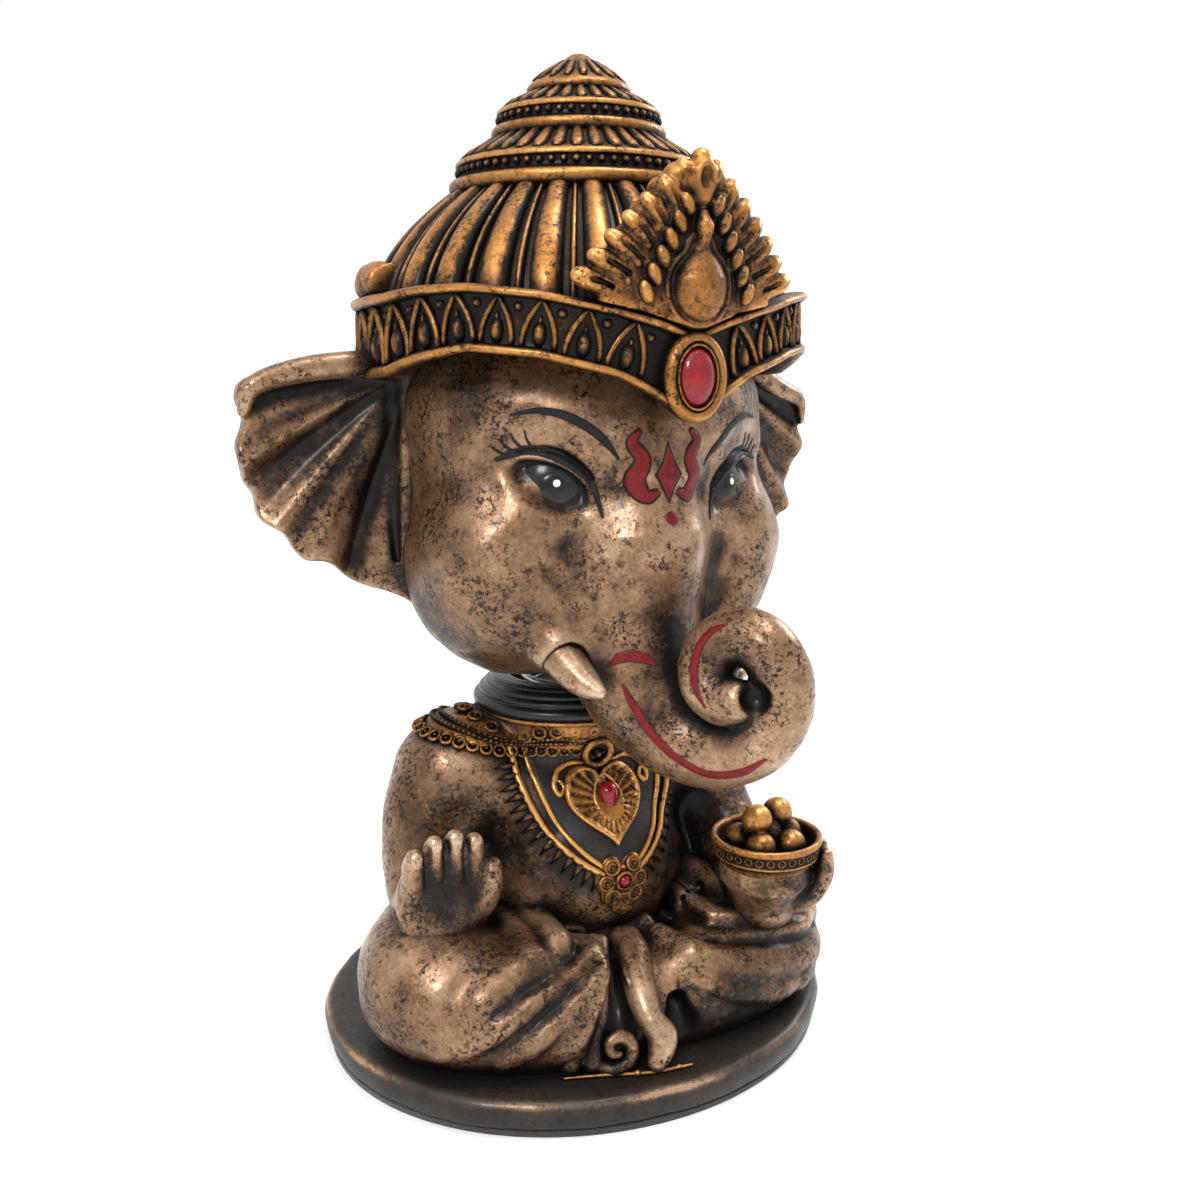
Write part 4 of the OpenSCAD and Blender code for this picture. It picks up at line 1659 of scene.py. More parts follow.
    def marks(self, face: BVHTree) -> None:
        """Paints the forehead mark, the dot and the trunk's leaves and stripe.

        Args:
            face: the face's search tree.
        """
        front = Decal(face, (0, -30, 100), (1, 0, 0), (0, 0, 1), 0.4)
        for side, name in SIDES:
            line = [
                (side * 4.2, 7.4, 0.12), (side * 5.5, 5.6, 0.7), (side * 4.0, 3.1, 0.95),
                (side * 5.1, 0.2, 1.15), (side * 3.6, -2.3, 0.95), (side * 1.6, -1.7, 0.3)
            ]
            front.lay(
                name + "_forehead_edge", stroke([(x, z, w + 0.28) for x, z, w in line]), BLACK_PAINT,
                Body.HEAD, 0.05
            )
            front.lay(name + "_forehead_stroke", stroke(line), RED_PAINT, Body.HEAD, 0.13)
        diamond = [
            (0, 5.2), (0.8, 2.6), (1.9, 0.8), (0.9, -0.9), (0, -3.0), (-0.9, -0.9), (-1.9, 0.8), (-0.8, 2.6)
        ]
        front.lay(
            "forehead_diamond_edge", [(x * 1.26, 0.8 + (z - 0.8) * 1.14) for x, z in diamond], BLACK_PAINT,
            Body.HEAD, 0.05
        )
        front.lay("forehead_diamond", diamond, RED_PAINT, Body.HEAD, 0.13)
        round_dot = [(x, z - 5.6) for x, z in ring_points(0.95, 0.95, 20)]
        front.lay("forehead_dot", round_dot, RED_PAINT, Body.HEAD)
        flank = Decal(face, (0, -24, 0), (0.342, -0.94, 0), (0, 0, 1), 0.4)
        stripe = [
            (4.6, 69.6, 0.12), (6.0, 66.8, 0.5), (8.6, 63.0, 0.62), (12.4, 59.4, 0.62), (17.2, 57.4, 0.6),
            (22.4, 58.4, 0.55), (26.4, 61.2, 0.15)
        ]
        flank.lay("trunk_red_stripe", stroke(stripe), RED_PAINT, Body.HEAD)
        turn = [
            (20.6, 80.6, 0.12), (18.2, 79.0, 0.5), (16.8, 75.6, 0.6), (17.2, 71.8, 0.55), (19.4, 68.6, 0.15)
        ]
        flank.lay("trunk_red_turn", stroke(turn), RED_PAINT, Body.HEAD)
        flank.lay(
            "trunk_red_leaf_long",
            [
                (2.4, 72.2), (3.6, 74.2), (5.4, 74.9), (7.2, 74.0), (8.2, 72.4), (6.6, 72.9), (5.0, 73.1),
                (3.6, 72.6)
            ],
            RED_PAINT, Body.HEAD
        )
        flank.lay(
            "trunk_red_leaf_short",
            [(9.6, 73.4), (10.6, 74.5), (12.0, 74.3), (12.8, 73.2), (11.4, 72.5), (10.2, 72.6)], RED_PAINT,
            Body.HEAD
        )


# ---------------------------------------------------------------- the crown


@dataclass
class Crown:
    """The crown: band with arches, jewel, ribbed dome, two tiers, finial, crest and rolled cloth."""

    axis: Tuple[float, float] = (0.0, -2.0)
    radius: float = 35.4
    arches: int = 36
    ribs: int = 26
    crest_bend: float = 36.6
    roll_at: Tuple[float, float] = (33.2, 129.2)
    angles: Tuple[float, ...] = (0, 3, 8, 17.5, 35, 52, 66, 79, 100, 130, 180)
    lower: Tuple[float, ...] = (109.0, 110.2, 112.2, 115.3, 118.0, 118.9, 117.4, 115.2, 114.4, 114.4, 114.4)
    upper: Tuple[float, ...] = (121.0, 121.7, 122.9, 124.4, 126.7, 127.8, 127.6, 126.8, 126.4, 126.4, 126.4)
    dome_line: Tuple[Tuple[float, float], ...] = (
        (32.6, 123.0), (32.4, 126.0), (31.6, 129.0), (30.0, 132.2), (27.6, 135.6), (24.6, 138.8),
        (21.4, 141.6), (19.0, 143.4)
    )

    def edges(self, phi: np.ndarray) -> Tuple[np.ndarray, np.ndarray]:
        """Gives the band's lower and upper edge.

        Args:
            phi: degrees round from the front.

        Returns:
            The two heights.
        """
        a = np.abs((np.asarray(phi, float) + 180) % 360 - 180)
        fine = np.linspace(0, 180, 721)
        out = []
        for row in (self.lower, self.upper):
            values = np.interp(fine, self.angles, row)
            mirrored = np.concatenate([values[:0:-1], values, values[-2::-1]])
            smooth = np.convolve(mirrored, np.hanning(29) / np.hanning(29).sum(), "same")[720:1441]
            smooth[:13] = values[:13] * 0.6 + smooth[:13] * 0.4
            out.append(np.interp(a, fine, smooth))
        return out[0], out[1]

    def spot(self, phi: float, z: float, radius: float) -> np.ndarray:
        """Gives a place on a cylinder round the crown's axis, phi degrees from the front."""
        t = math.radians(phi)
        return np.array([self.axis[0] + radius * math.sin(t), self.axis[1] - radius * math.cos(t), z])

    def build(self) -> None:
        """Makes every piece of the crown."""
        self.band()
        self.band_arches()
        self.jewel()
        self.dome()
        self.tiers()
        self.crest()
        self.roll()

    def band(self) -> None:
        """Makes the headband with its two raised rims."""
        outer = [
            (-0.2, -0.02), (0.9, -0.025), (1.5, 0.01), (1.55, 0.07), (1.1, 0.115), (0.15, 0.125), (0.0, 0.16),
            (0.0, 0.5), (0.0, 0.845), (0.15, 0.88), (1.1, 0.885), (1.6, 0.925), (1.6, 0.985), (0.9, 1.025),
            (-0.4, 1.03)
        ]
        tone = [
            0.5, 0.1, 0.0, 0.0, 0.3, 0.9, 0.75, 0.6, 0.75, 0.9, 0.3, 0.0, 0.0, 0.1, 0.3, 0.6, 0.8, 0.8, 0.6
        ]
        inner = [(-2.6, 1.0), (-3.4, 0.9), (-3.4, 0.1), (-2.6, 0.0)]
        line = np.array(outer + inner)
        turns = 480
        phi = np.linspace(0, 360, turns, endpoint=False)
        low, high = self.edges(phi)
        points = np.zeros((len(line), turns, 3))
        t = np.radians(phi)
        for i, (off, share) in enumerate(line):
            r = self.radius + off + (0.04 * np.sin(t * 37 + i) if off > 0.5 else 0)
            points[i] = np.stack(
                [self.axis[0] + r * np.sin(t), self.axis[1] - r * np.cos(t), low + share * (high - low)], 1
            )
        faces = wall(len(line), turns, True)
        rub = np.where(np.array(tone) < 0.05, 0.45, 0.0)
        marks = {"wash": np.repeat(0.54 * np.array(tone), turns), "rub": np.repeat(rub, turns)}
        tidy(
            dress("crown_band_relief", points.reshape(-1, 3), faces, GOLD, Body.HEAD, ("crown_band",), marks)
        )

    def band_arches(self) -> None:
        """Sets the pointed arches, their drops and the small fillers round the band."""
        half = [
            (-2.55, -3.5, 1.1), (-2.6, -2.2, 1.0), (-2.35, -0.8, 1.0), (-1.8, 0.9, 1.0), (-1.05, 2.3, 1.0),
            (-0.35, 3.4, 0.95), (0, 4.0, 0.8)
        ]
        line = half + [(-x, y, w) for x, y, w in half[-2::-1]]
        arch = strip_shape(line, 1.0, 0.85)
        drop = moved(dome_shape(2.4, 4.2, 1.05, 10, 3), (0, -1.4, 0))
        peak = moved(dome_shape(0.8, 1.6, 0.6, 8, 2), (0, 0.8, 0))
        step = 360 / self.arches
        middles = [a for a in ((i + 0.5) * step for i in range(self.arches)) if min(a, 360 - a) >= 7]
        arches = [self.on_band(a, 0.485) for a in middles]
        sizes = [tall * 0.84 / 7.9 for *_, tall in arches]
        spots, outs, ups, _ = zip(*arches)
        shape = together(arch, drop, peak)
        REPEATER.place("band_arches", shape, spots, outs, ups, GOLD, Body.HEAD, sizes=sizes, uneven=0.05)
        fillers = [self.on_band(a + step / 2, 0.74) for a in middles]
        spots, outs, ups, _ = zip(*(f for f in fillers if abs(f[0][0]) > 6 or f[0][1] > 0))
        shape = dome_shape(1.9, 1.7, 0.6, 6, 2)
        REPEATER.place("band_fillers", shape, spots, outs, ups, GOLD, Body.HEAD, uneven=0.1)

    def on_band(self, phi: float, share: float) -> Tuple[np.ndarray, np.ndarray, np.ndarray, float]:
        """Finds a place on the band.

        Args:
            phi: degrees round from the front.
            share: how far up the band it is.

        Returns:
            The place, outward, upward as the band leans there, and the band's height.
        """
        low, high = self.edges(np.array([phi - 1, phi, phi + 1]))
        tall = high[1] - low[1]
        t = math.radians(phi)
        around = np.array([math.cos(t), math.sin(t), 0])
        slope = (0.5 * (low[2] + high[2] - low[0] - high[0])) / (2 * math.radians(1) * self.radius)
        up = unit(np.array([0, 0, 1]) - around * slope * 0.75)
        place = self.spot(phi, low[1] + share * tall, self.radius - 0.05)
        return place, np.array([math.sin(t), -math.cos(t), 0]), up, tall

    def jewel(self) -> None:
        """Makes the oval bezel and its red stone."""
        at = (0, self.axis[1] - self.radius - 1.1, 115.1)
        rim = strip_shape(ring_points(4.15, 5.5, 48), 1.9, 1.5, True, 10)
        lip = strip_shape(ring_points(3.2, 4.5, 48), 0.7, 1.5, True, 8)
        shape = together(rim, lip, moved(dome_shape(8.6, 11.2, 1.2, 48, 4), (0, 0, -0.5)))
        REPEATER.place(
            "jewel_bezel", shape, [at], [(0, -1, 0)], [(0, 0, 1)], GOLD, Body.HEAD, nodes=("band_bezel",)
        )
        stone = dome_shape(5.9, 8.3, 2.0, 40, 10)
        REPEATER.place(
            "jewel_stone", stone, [(at[0], at[1] - 0.5, at[2])], [(0, -1, 0)], [(0, 0, 1)], RED, Body.HEAD,
            nodes=("band_stone",)
        )

    @staticmethod
    def rib_shape(path: Sequence[Point], sides: int = 9) -> Shape:
        """Makes one rib that follows a turned outline.

        Args:
            path: radius, height, width and rise of each point.
            sides: points across the rib.

        Returns:
            Points (x across, y up, z away from the axis), faces and wash.
        """
        p = np.asarray(path, float)
        way = unit_rows(np.gradient(p[:, :2], axis=0))
        out = np.stack([way[:, 1], -way[:, 0]], 1)
        out *= np.sign(out[:, :1])
        a = np.linspace(0, math.pi, sides)
        points, wash = [], []
        for (r, z, wide, rise), o in zip(p, out):
            row = [
                (
                    0.5 * wide * math.cos(b), z + o[1] * rise * math.sin(b) ** 0.8,
                    r + o[0] * rise * math.sin(b) ** 0.8
                )
                for b in a
            ]
            row += [
                (-0.4 * wide, z - o[1] * 0.8, r - o[0] * 0.8), (0.4 * wide, z - o[1] * 0.8, r - o[0] * 0.8)
            ]
            points += row
            wash += [0.9 * (1 - math.sin(b)) ** 1.2 for b in a] + [0.9, 0.9]
        n = sides + 2
        faces = wall(len(p), n)
        faces.append(tuple(range(n - 1, -1, -1)))
        faces.append(tuple((len(p) - 1) * n + j for j in range(n)))
        shape = np.array(points)
        f = faces[sides // 2]
        normal = np.cross(shape[f[1]] - shape[f[0]], shape[f[2]] - shape[f[0]])
        if normal[2] < 0:
            faces = [g[::-1] for g in faces]
        return shape, faces, np.array(wash)

    def ring_of(self, name: str, shape: Shape, count: int, offset: float = 0.0,
                skip: Callable[[float], bool] = lambda phi: False, uneven: float = 0.0) -> None:
        """Sets ribs round the crown's axis.

        Args:
            name: the piece's name.
            shape: one rib.
            count: how many go all the way round.
            offset: share of a step to turn them by.
            skip: says which angles are left out.
            uneven: how much smaller a hand-made one may be.
        """
        angles = [a for a in ((i + offset) * 360 / count for i in range(count)) if not skip(a)]
        outs = [(math.sin(math.radians(a)), -math.cos(math.radians(a)), 0) for a in angles]
        REPEATER.place(
            name, shape, [(*self.axis, 0)] * len(angles), outs, [(0, 0, 1)] * len(angles), GOLD, Body.HEAD,
            uneven=uneven
        )

    def dome(self) -> None:
        """Makes the dome's core, its broad ribs and the thin ones between them."""
        core = [(0, 122.0), (32.4, 122.0)] + [(r - 0.3, z) for r, z in self.dome_line] + [(0, 143.6)]
        turned("crown_dome_core", core, GOLD, Body.HEAD, ("crown_dome",), 160, self.axis, 1.0, 1)
        line = curve(self.dome_line, 3)
        pitch = FULL_TURN / self.ribs
        broad = [(r - 0.2, z, r * pitch * 0.62, 1.75 * r / 32) for r, z in line[2:-1]]
        thin = [(r - 0.15, z, r * pitch * 0.15, 1.0 * r / 32) for r, z in line[2:-1]]
        self.ring_of("dome_broad_ribs", self.rib_shape(broad, 11), self.ribs, 0.5)
        self.ring_of("dome_thin_ribs", self.rib_shape(thin, 7), self.ribs, 0.0)

    def tiers(self) -> None:
        """Makes the two tiers with beads and flutes, and the finial."""
        x = self.axis
        lower = [
            (0, 142.0), (19.0, 142.2), (20.6, 143.0), (21.0, 144.2), (20.7, 145.0), (19.6, 145.4),
            (19.3, 145.9), (19.3, 147.0), (19.9, 147.3), (19.7, 148.0), (18.7, 148.4), (17.0, 149.2),
            (14.6, 150.8), (13.0, 152.0), (0, 152.0)
        ]
        turned("crown_tier_low", lower, GOLD, Body.HEAD, ("crown_lower_tier",), 144, x)
        upper = [
            (0, 150.8), (12.4, 151.0), (13.7, 151.6), (14.1, 152.6), (13.8, 153.4), (12.9, 153.7),
            (12.7, 154.2), (12.7, 155.1), (13.2, 155.4), (13.0, 156.1), (12.0, 156.4), (10.2, 157.2),
            (8.2, 158.4), (7.2, 159.2), (0, 159.2)
        ]
        turned("crown_tier_high", upper, GOLD, Body.HEAD, ("crown_upper_tier",), 128, x)
        top = [
            (0, 158.0), (7.0, 158.0), (8.0, 158.5), (8.35, 159.2), (8.1, 159.9), (7.2, 160.6), (5.2, 161.9),
            (3.4, 163.2), (2.2, 164.1), (1.2, 164.8), (0, 165.0)
        ]
        turned("crown_finial_turned", top, GOLD, Body.HEAD, ("crown_finial",), 96, x)
        for name, radius, z, count, size in (
            ("low", 19.35, 146.45, 66, 1.42), ("high", 12.75, 154.65, 46, 1.3)
        ):
            angles = [math.radians(i * 360 / count) for i in range(count)]
            spots = [(x[0] + radius * math.sin(a), x[1] - radius * math.cos(a), z) for a in angles]
            outs = [(math.sin(a), -math.cos(a), 0) for a in angles]
            REPEATER.place(
                f"tier_beads_{name}", BEAD, spots, outs, [(0, 0, 1)] * count, GOLD, Body.HEAD, size=size,
                uneven=0.12
            )
        self.ring_of(
            "tier_flutes_low",
            self.rib_shape(
                [
                    (18.9, 148.1, 1.5, 0.5), (17.6, 148.9, 2.2, 0.75), (15.6, 150.1, 1.95, 0.7),
                    (13.6, 151.6, 1.5, 0.55)
                ],
                7
            ),
            40
        )
        self.ring_of(
            "tier_flutes_high",
            self.rib_shape(
                [
                    (12.3, 156.1, 1.3, 0.4), (11.0, 156.9, 1.8, 0.6), (9.4, 157.7, 1.5, 0.55),
                    (7.8, 158.7, 1.1, 0.4)
                ],
                7
            ),
            30
        )
        self.ring_of(
            "finial_flutes",
            self.rib_shape(
                [
                    (7.4, 160.4, 1.0, 0.3), (6.2, 161.3, 1.5, 0.45), (4.6, 162.4, 1.15, 0.4),
                    (3.0, 163.5, 0.7, 0.25)
                ],
                7
            ),
            18
        )

    def crest(self) -> None:
        """Sculpts the upright crest: leaves up both sides, small drops and a large boss."""
        c = Clay((-20, -45, 118), (20, -28, 149), 0.26)

        def at(u: float, z: float, out: float = 0.0) -> np.ndarray:
            """Gives a place on the crest's face, u across, with the face bent round the crown."""
            r, a = self.crest_bend + out, u / self.crest_bend
            return np.array([r * math.sin(a), self.axis[1] - r * math.cos(a) - 0.02 * (z - 128), z])

        for z, wide in (
            (122.5, 5.5), (125.5, 12.5), (128, 14), (131, 12), (134, 10), (137, 8), (140, 5.4), (142, 3)
        ):
            c.limb([(*at(u, z, -0.9), 1.9) for u in np.linspace(-wide, wide, 7)], 1.2)
        for side in (-1, 1):
            for i in range(7):
                t = i / 6.0
                u, z = side * (15.4 * (1 - t) ** 0.92 + 1.9 * t), 128.2 + 14.0 * t
                lean = math.radians(62 - 52 * (1 - t) ** 1.4 * 0.9) if i else math.radians(18)
                way = np.array([side * math.cos(lean), 0, math.sin(lean)])
                base = at(u, z, 0.2)
                size = 1.0 - 0.18 * t
                spine = [
                    (*(base - way * 4.4 * size), 0.9 * size),
                    (*(base - way * 1.6 * size + [0, -0.5, 0]), 1.5 * size),
                    (*(base + way * 0.7 * size + [0, -0.2, 0]), 1.55 * size)
                ]
                c.limb(curve(spine, 4), 0.5)
                tip = base + way * 1.7 * size
                hook = [
                    (*tip, 1.2 * size), (*(tip + np.array([-side * 1.0, -1.0, -0.9]) * size), 0.75 * size),
                    (*(tip + np.array([-side * 1.9, -1.1, -0.3]) * size), 0.5 * size)
                ]
                c.limb(hook, 0.3)
                c.limb(
                    [
                        (*(base - way * 3.6 * size + [0, -1.3, 0]), 0.3),
                        (*(base + way * 0.2 * size + [0, -1.7, 0]), 0.42)
                    ],
                    0.4, True
                )
            for i in range(6):
                t = i / 5.0
                u, z = side * (7.9 * (1 - t) + 2.3 * t), 126.6 + 11.6 * t
                way = unit((side * 0.42, 0, 1))
                c.ball(
                    at(u, z, 1.3), (1.0, 1.1, 1.75), 0.25, False,
                    np.array([np.cross(way, (0, 1, 0)), (0, 1, 0), way])
                )
                c.ball(at(u + side * 2.4 * (1 - 0.5 * t), z + 1.4, 0.8), 0.62, 0.2)
        c.ball(at(0, 127.2, 1.2), (4.0, 2.3, 4.6), 0.8)
        c.limb([(*at(0, 128.5, 1.1), 3.0), (*at(0, 132.2, 1.0), 1.3)], 1.4)
        c.limb([(*at(0, 133.4, 1.6), 1.0), (*at(0, 135.2, 1.9), 1.35), (*at(0, 137.0, 1.4), 0.8)], 0.4)
        c.limb([(*at(0, 139.4, 0.9), 1.5), (*at(0, 142.4, 1.0), 2.0), (*at(0, 144.2, 0.6), 1.5)], 0.6)
        c.ball(at(0, 141.6, 3.0), (1.1, 1.3, 1.8), 0.5, True)
        hoop = [
            (*at(4.9 * math.sin(t), 127.4 + 5.3 * math.cos(t) + (1.8 if math.cos(t) > 0.9 else 0), 1.0), 0.42)
            for t in np.linspace(0, FULL_TURN, 25)
        ]
        c.limb(hoop, 0.3)
        degrees = np.arange(0, 41)
        band_top = [float(self.edges(np.array([a]))[1][0]) for a in degrees]

        def over_band(x: Grid, y: Grid, z: Grid) -> Grid:
            """Gives the distance to what stands above the band."""
            phi = np.degrees(np.arctan2(np.abs(x), -(y - self.axis[1])))
            return (np.interp(phi, degrees, band_top) + 0.3 - z) * 0.8

        c.keep(over_band)
        c.piece("crown_crest_leaves", GOLD, Body.HEAD, ("crown_crest",), 0.12)

    def roll(self) -> None:
        """Sculpts the twisted roll of cloth behind the dome."""
        c = Clay((-42, -4, 120), (42, 42, 138), 0.42)
        middle_r, middle_z = self.roll_at
        line = []
        for phi in np.linspace(84, 276, 60):
            p = self.spot(float(phi), middle_z, middle_r)
            fade = min(1.0, (phi - 80) / 10, (280 - phi) / 10)
            line.append((*p, 2.9 * math.sqrt(fade)))
        c.limb(line, 0.5)

        def twist(x: Grid, y: Grid, z: Grid) -> Grid:
            """Gives the twisted grooves of the roll."""
            a = np.arctan2(x - self.axis[0], -(y - self.axis[1]))
            r = np.sqrt((x - self.axis[0]) ** 2 + (y - self.axis[1]) ** 2)
            b = np.arctan2(z - middle_z, r - middle_r)
            return 0.42 * np.abs(np.sin(a * 17 + b)) - 0.2 + 0.12 * np.sin(a * 61 + b * 3)

        c.press(twist)
        c.piece("crown_cloth_roll", GOLD, Body.HEAD, ("crown_roll",), 0.12)


# ---------------------------------------------------------------- the seated body


@dataclass
class Figure:
    """The plinth, the seated body with its arms and hands, and the wrapped legs."""

    step: float = 0.42
    neck_y: float = NECK_Y
    neck_z: float = 57.5
    base: Tuple[float, float, float] = (92.0, 82.0, 6.2)
    felt: float = 0.8

    def build(self) -> Tuple[Clay, BVHTree]:
        """Makes the body's pieces.

        Returns:
            The torso's clay and a search tree of its surface, for the jewellery.
        """
        self.plinth()
        self.legs()
        self.foot_and_pleat()
        bare = self.torso()
        kept = bare.like(bare.grid.copy())
        nodes = ("torso", "right_arm", "right_hand", "left_arm", "left_hand")
        return kept, tree_of(self.arms(bare).piece("body_and_arms", SKIN, Body.FIGURE, nodes))

    def plinth(self) -> None:
        """Makes the oval plinth with an eased, slightly uneven edge."""
        w, d, h = self.base
        foot, r = self.felt, w / 2
        line = [
            (0, foot), (r - 2.2, foot), (r - 0.9, foot + 0.5), (r - 0.3, foot + 1.4), (r, h - 2.2),
            (r - 0.25, h - 0.9), (r - 1.1, h - 0.15), (r - 2.4, h), (r - 8, h - 0.05), (0, h)
        ]
        p = soften(line, 2)
        points, faces = lathe(p, 220, (0, 0), d / w)
        a = np.arctan2(points[:, 1], points[:, 0])
        uneven = 1 + 0.0035 * np.sin(a * 5 + 1) + 0.002 * np.sin(a * 13 + 2) + 0.0012 * np.sin(a * 31)
        points[:, :2] *= uneven[:, None]
        edge = np.exp(-((p[:, 1] - (h - 0.7)) / 0.55) ** 2) * (p[:, 0] > r - 3)
        rub = np.repeat(edge, 220) * (0.55 + 0.45 * np.sin(a * 7 + 0.6) * np.sin(a * 3))
        marks = {"wash": np.zeros(len(points)), "rub": rub}
        tidy(dress("plinth_turned", points, faces, PLINTH_DARK, Body.FIGURE, ("base_plinth",), marks))

    @staticmethod
    def torso_points(c: Clay) -> None:
        """Adds the belly, chest, shoulders and neck.

        Args:
            c: the clay.
        """
        c.limb([(0, 3, 27, 19.3), (0, 1.4, 30, 18.9), (0, 4.2, 41, 13.8)], 2.0)
        c.limb([(-18.9, 5, 46.6, 9.9), (18.9, 5, 46.6, 9.9)], 4.0)
        for side in (-1, 1):
            c.limb([(side * 3, 3.5, 38, 13.5), (side * 18.9, 5, 46.2, 9.6)], 4.0)
            c.ball((side * 8.5, -4.5, 42.5), (7.2, 5.4, 6.0), 3.5)
            c.ball((side * 13.5, 2.5, 26), (9.5, 12, 8.5), 4.0)
        c.limb([(0, 4.5, 49, 12.6), (0, 4.5, 60, 15.2)], 2.5)

    def torso(self) -> Clay:
        """Models the trunk of the body without its arms.

        Returns:
            The clay.
        """
        c = Clay((-46, -42, 5.4), (46, 30, 62), self.step)
        self.torso_points(c)
        c.keep(lambda x, y, z: np.maximum(z - (self.neck_z - 0.2), 6.6 - z))
        return c

    def arms(self, c: Clay) -> Clay:
        """Adds both arms and hands and carves the creases and the navel.

        Args:
            c: the torso's clay.

        Returns:
            The same clay.
        """
        right = [
            (-22.0, 5, 46.4, 9.9), (-25.0, 4, 40, 9.3), (-26.6, 2.0, 32, 8.7), (-27.8, -1.5, 27.4, 7.6),
            (-29.4, -7.0, 28.0, 6.4)
        ]
        c.limb(curve(right, 4), 2.2)
        c.ball((-30.2, -10.6, 31.2), (7.2, 4.4, 8.6), 2.4)
        c.ball((-29.8, -11.2, 27.0), (6.6, 4.4, 4.8), 1.6)
        tops = (40.2, 42.0, 42.4, 41.2)
        for i, top in enumerate(tops):
            x = -35.0 + 3.3 * i
            finger = [
                (x * 0.99, -12.2, 33.5, 2.2), (x, -13.0, 37.5, 2.0), (x, -13.2, top - 1.6, 1.95),
                (x, -13.9, top, 1.55)
            ]
            c.limb(curve(finger, 4), 0.3)
        for i in range(3):
            x = -33.35 + 3.3 * i
            c.limb(
                [(x, -15.4, 33.6, 0.5), (x, -15.2, 37.6, 0.8), (x, -14.6, 41.6, 0.6), (x, -12.6, 43.6, 0.5)],
                0.4, True
            )
        for x, z in ((-35.0, 36.6), (-31.7, 37.2), (-28.4, 37.2), (-25.2, 36.4)):
            c.limb([(x - 1.2, -15.3, z, 0.3), (x + 1.2, -15.3, z + 0.2, 0.3)], 0.4, True)
        c.limb([(-34.6, -14.7, 33.4, 0.3), (-31, -15.9, 32.6, 0.6), (-26.6, -15.0, 34.0, 0.3)], 0.7, True)
        c.limb([(-33.0, -15.3, 28.8, 0.3), (-29.4, -15.9, 30.8, 0.55), (-26.4, -14.8, 33.0, 0.3)], 0.7, True)
        # Painted shade on the right palm and painted highlights on the fingertips and the wrist.
        c.painted_shading_spots += [
            (-31, -15.5, 36, 5.0, 0.5), (-30, -15.5, 30, 3.0, 0.2), (-30, -15, 42.8, 3.2, -0.3),
            (-30, -13, 24.6, 4.5, -0.3)
        ]
        thumb = [
            (-25.2, -11.4, 27.6, 2.9), (-23.2, -13.2, 31.2, 2.4), (-22.4, -14.0, 34.6, 2.1),
            (-22.0, -14.0, 36.4, 1.6)
        ]
        c.limb(curve(thumb, 4), 0.9)
        left = [
            (22.0, 5, 46.4, 9.8), (25.4, 3, 39, 9.0), (28.0, -1.5, 32, 8.2), (27.4, -9, 27.6, 6.8),
            (26, -17, 25.6, 5.4), (24.6, -24, 25.4, 4.7)
        ]
        c.limb(curve(left, 4), 2.2)
        c.limb([(26, -17, 25.4, 6.2), (24.4, -24, 25.6, 5.6)], 2.5)
        c.limb([(24.0, -25.2, 26.6, 5.4), (23.6, -25.8, 31.0, 8.0)], 2.6)
        # Painted shade round the left hand and the bowl.
        c.painted_shading_spots += [(22, -33, 31, 7, 0.55), (26, -20, 27, 6, 0.5), (31, -30, 31, 5, 0.4)]
        palm_x, palm_y, palm_top = 23.5, -26.0, 33.9

        def trim(x: Grid, y: Grid, z: Grid) -> Grid:
            """Gives the cut that levels the palm round the bowl."""
            near = (x - palm_x) ** 2 + (y - palm_y) ** 2 < 125
            return np.where(near, -2.4 * np.maximum(z - palm_top, 0), 0)

        c.press(trim, (11, -39, 30), (36, -13, 46))
        for i in range(4):
            a = math.radians(-38 + 27 * i)
            u = np.array([math.cos(a), math.sin(a)])
            path = [
                (5.2, 26.0, 2.1), (7.8, 27.6, 1.9), (9.4, 30.2, 1.75), (10.0, 32.8, 1.6), (10.1, 34.8, 1.3)
            ]
            c.limb(curve([(palm_x + r * u[0], palm_y + r * u[1], z, w) for r, z, w in path], 4), 0.4)
        c.limb([(palm_x, palm_y, z, r) for z, r in ((36.2, 6.3), (38.6, 8.7), (44, 9.4))], 0.2, True)
        for side in (-1, 1):
            c.limb(
                curve(
                    [
                        (side * 16.2, -9.5, 47, 0.7), (side * 17.4, -10.5, 41, 1.2),
                        (side * 17.2, -12.2, 35, 1.5), (side * 18.8, -10.4, 28, 1.6),
                        (side * 19.6, -9.0, 23, 1.6)
                    ],
                    4
                ),
                2.6, True
            )
            c.limb(
                curve(
                    [
                        (side * 15.6, -12.6, 38.2, 0.7), (side * 9.0, -16.6, 36.0, 0.8),
                        (side * 2.6, -17.8, 35.4, 0.3)
                    ],
                    4
                ),
                1.6, True
            )
        c.ball((0.4, -18.6, 24.6), (0.9, 1.6, 0.9), 0.5, True)
        c.limb([(0, self.neck_y, 53.4, 9.7), (0, self.neck_y, 62, 9.7)], 0.2, True)
        # Spots of painted shade (amount above zero) beside the arms and on the chest, and painted highlights
        # (below zero) on the belly and the right shoulder.
        c.painted_shading_spots += [
            (-17, -12, 38, 6.5, 0.6), (17, -12, 38, 7.5, 0.65), (14, -15, 30, 6, 0.4), (24, -9, 40, 7, 0.45),
            (26, -16, 31, 6, 0.35), (-33, -4, 44, 6, 0.25), (-8, -17, 22, 6, -0.25),
            (-2, -17.5, 24, 5, -0.15), (-22, -4, 52, 4, -0.2), (-8, -16, 33, 5, 0.35), (-29, -8, 40, 4, 0.3)
        ]
        c.press(lambda x, y, z: 0.09 * np.sin(x * 0.61 + np.sin(z * 0.35) * 2) * np.sin(z * 0.53 + y * 0.37))
        c.keep(lambda x, y, z: np.maximum(z - (self.neck_z - 0.05), 6.4 - z))
        return c

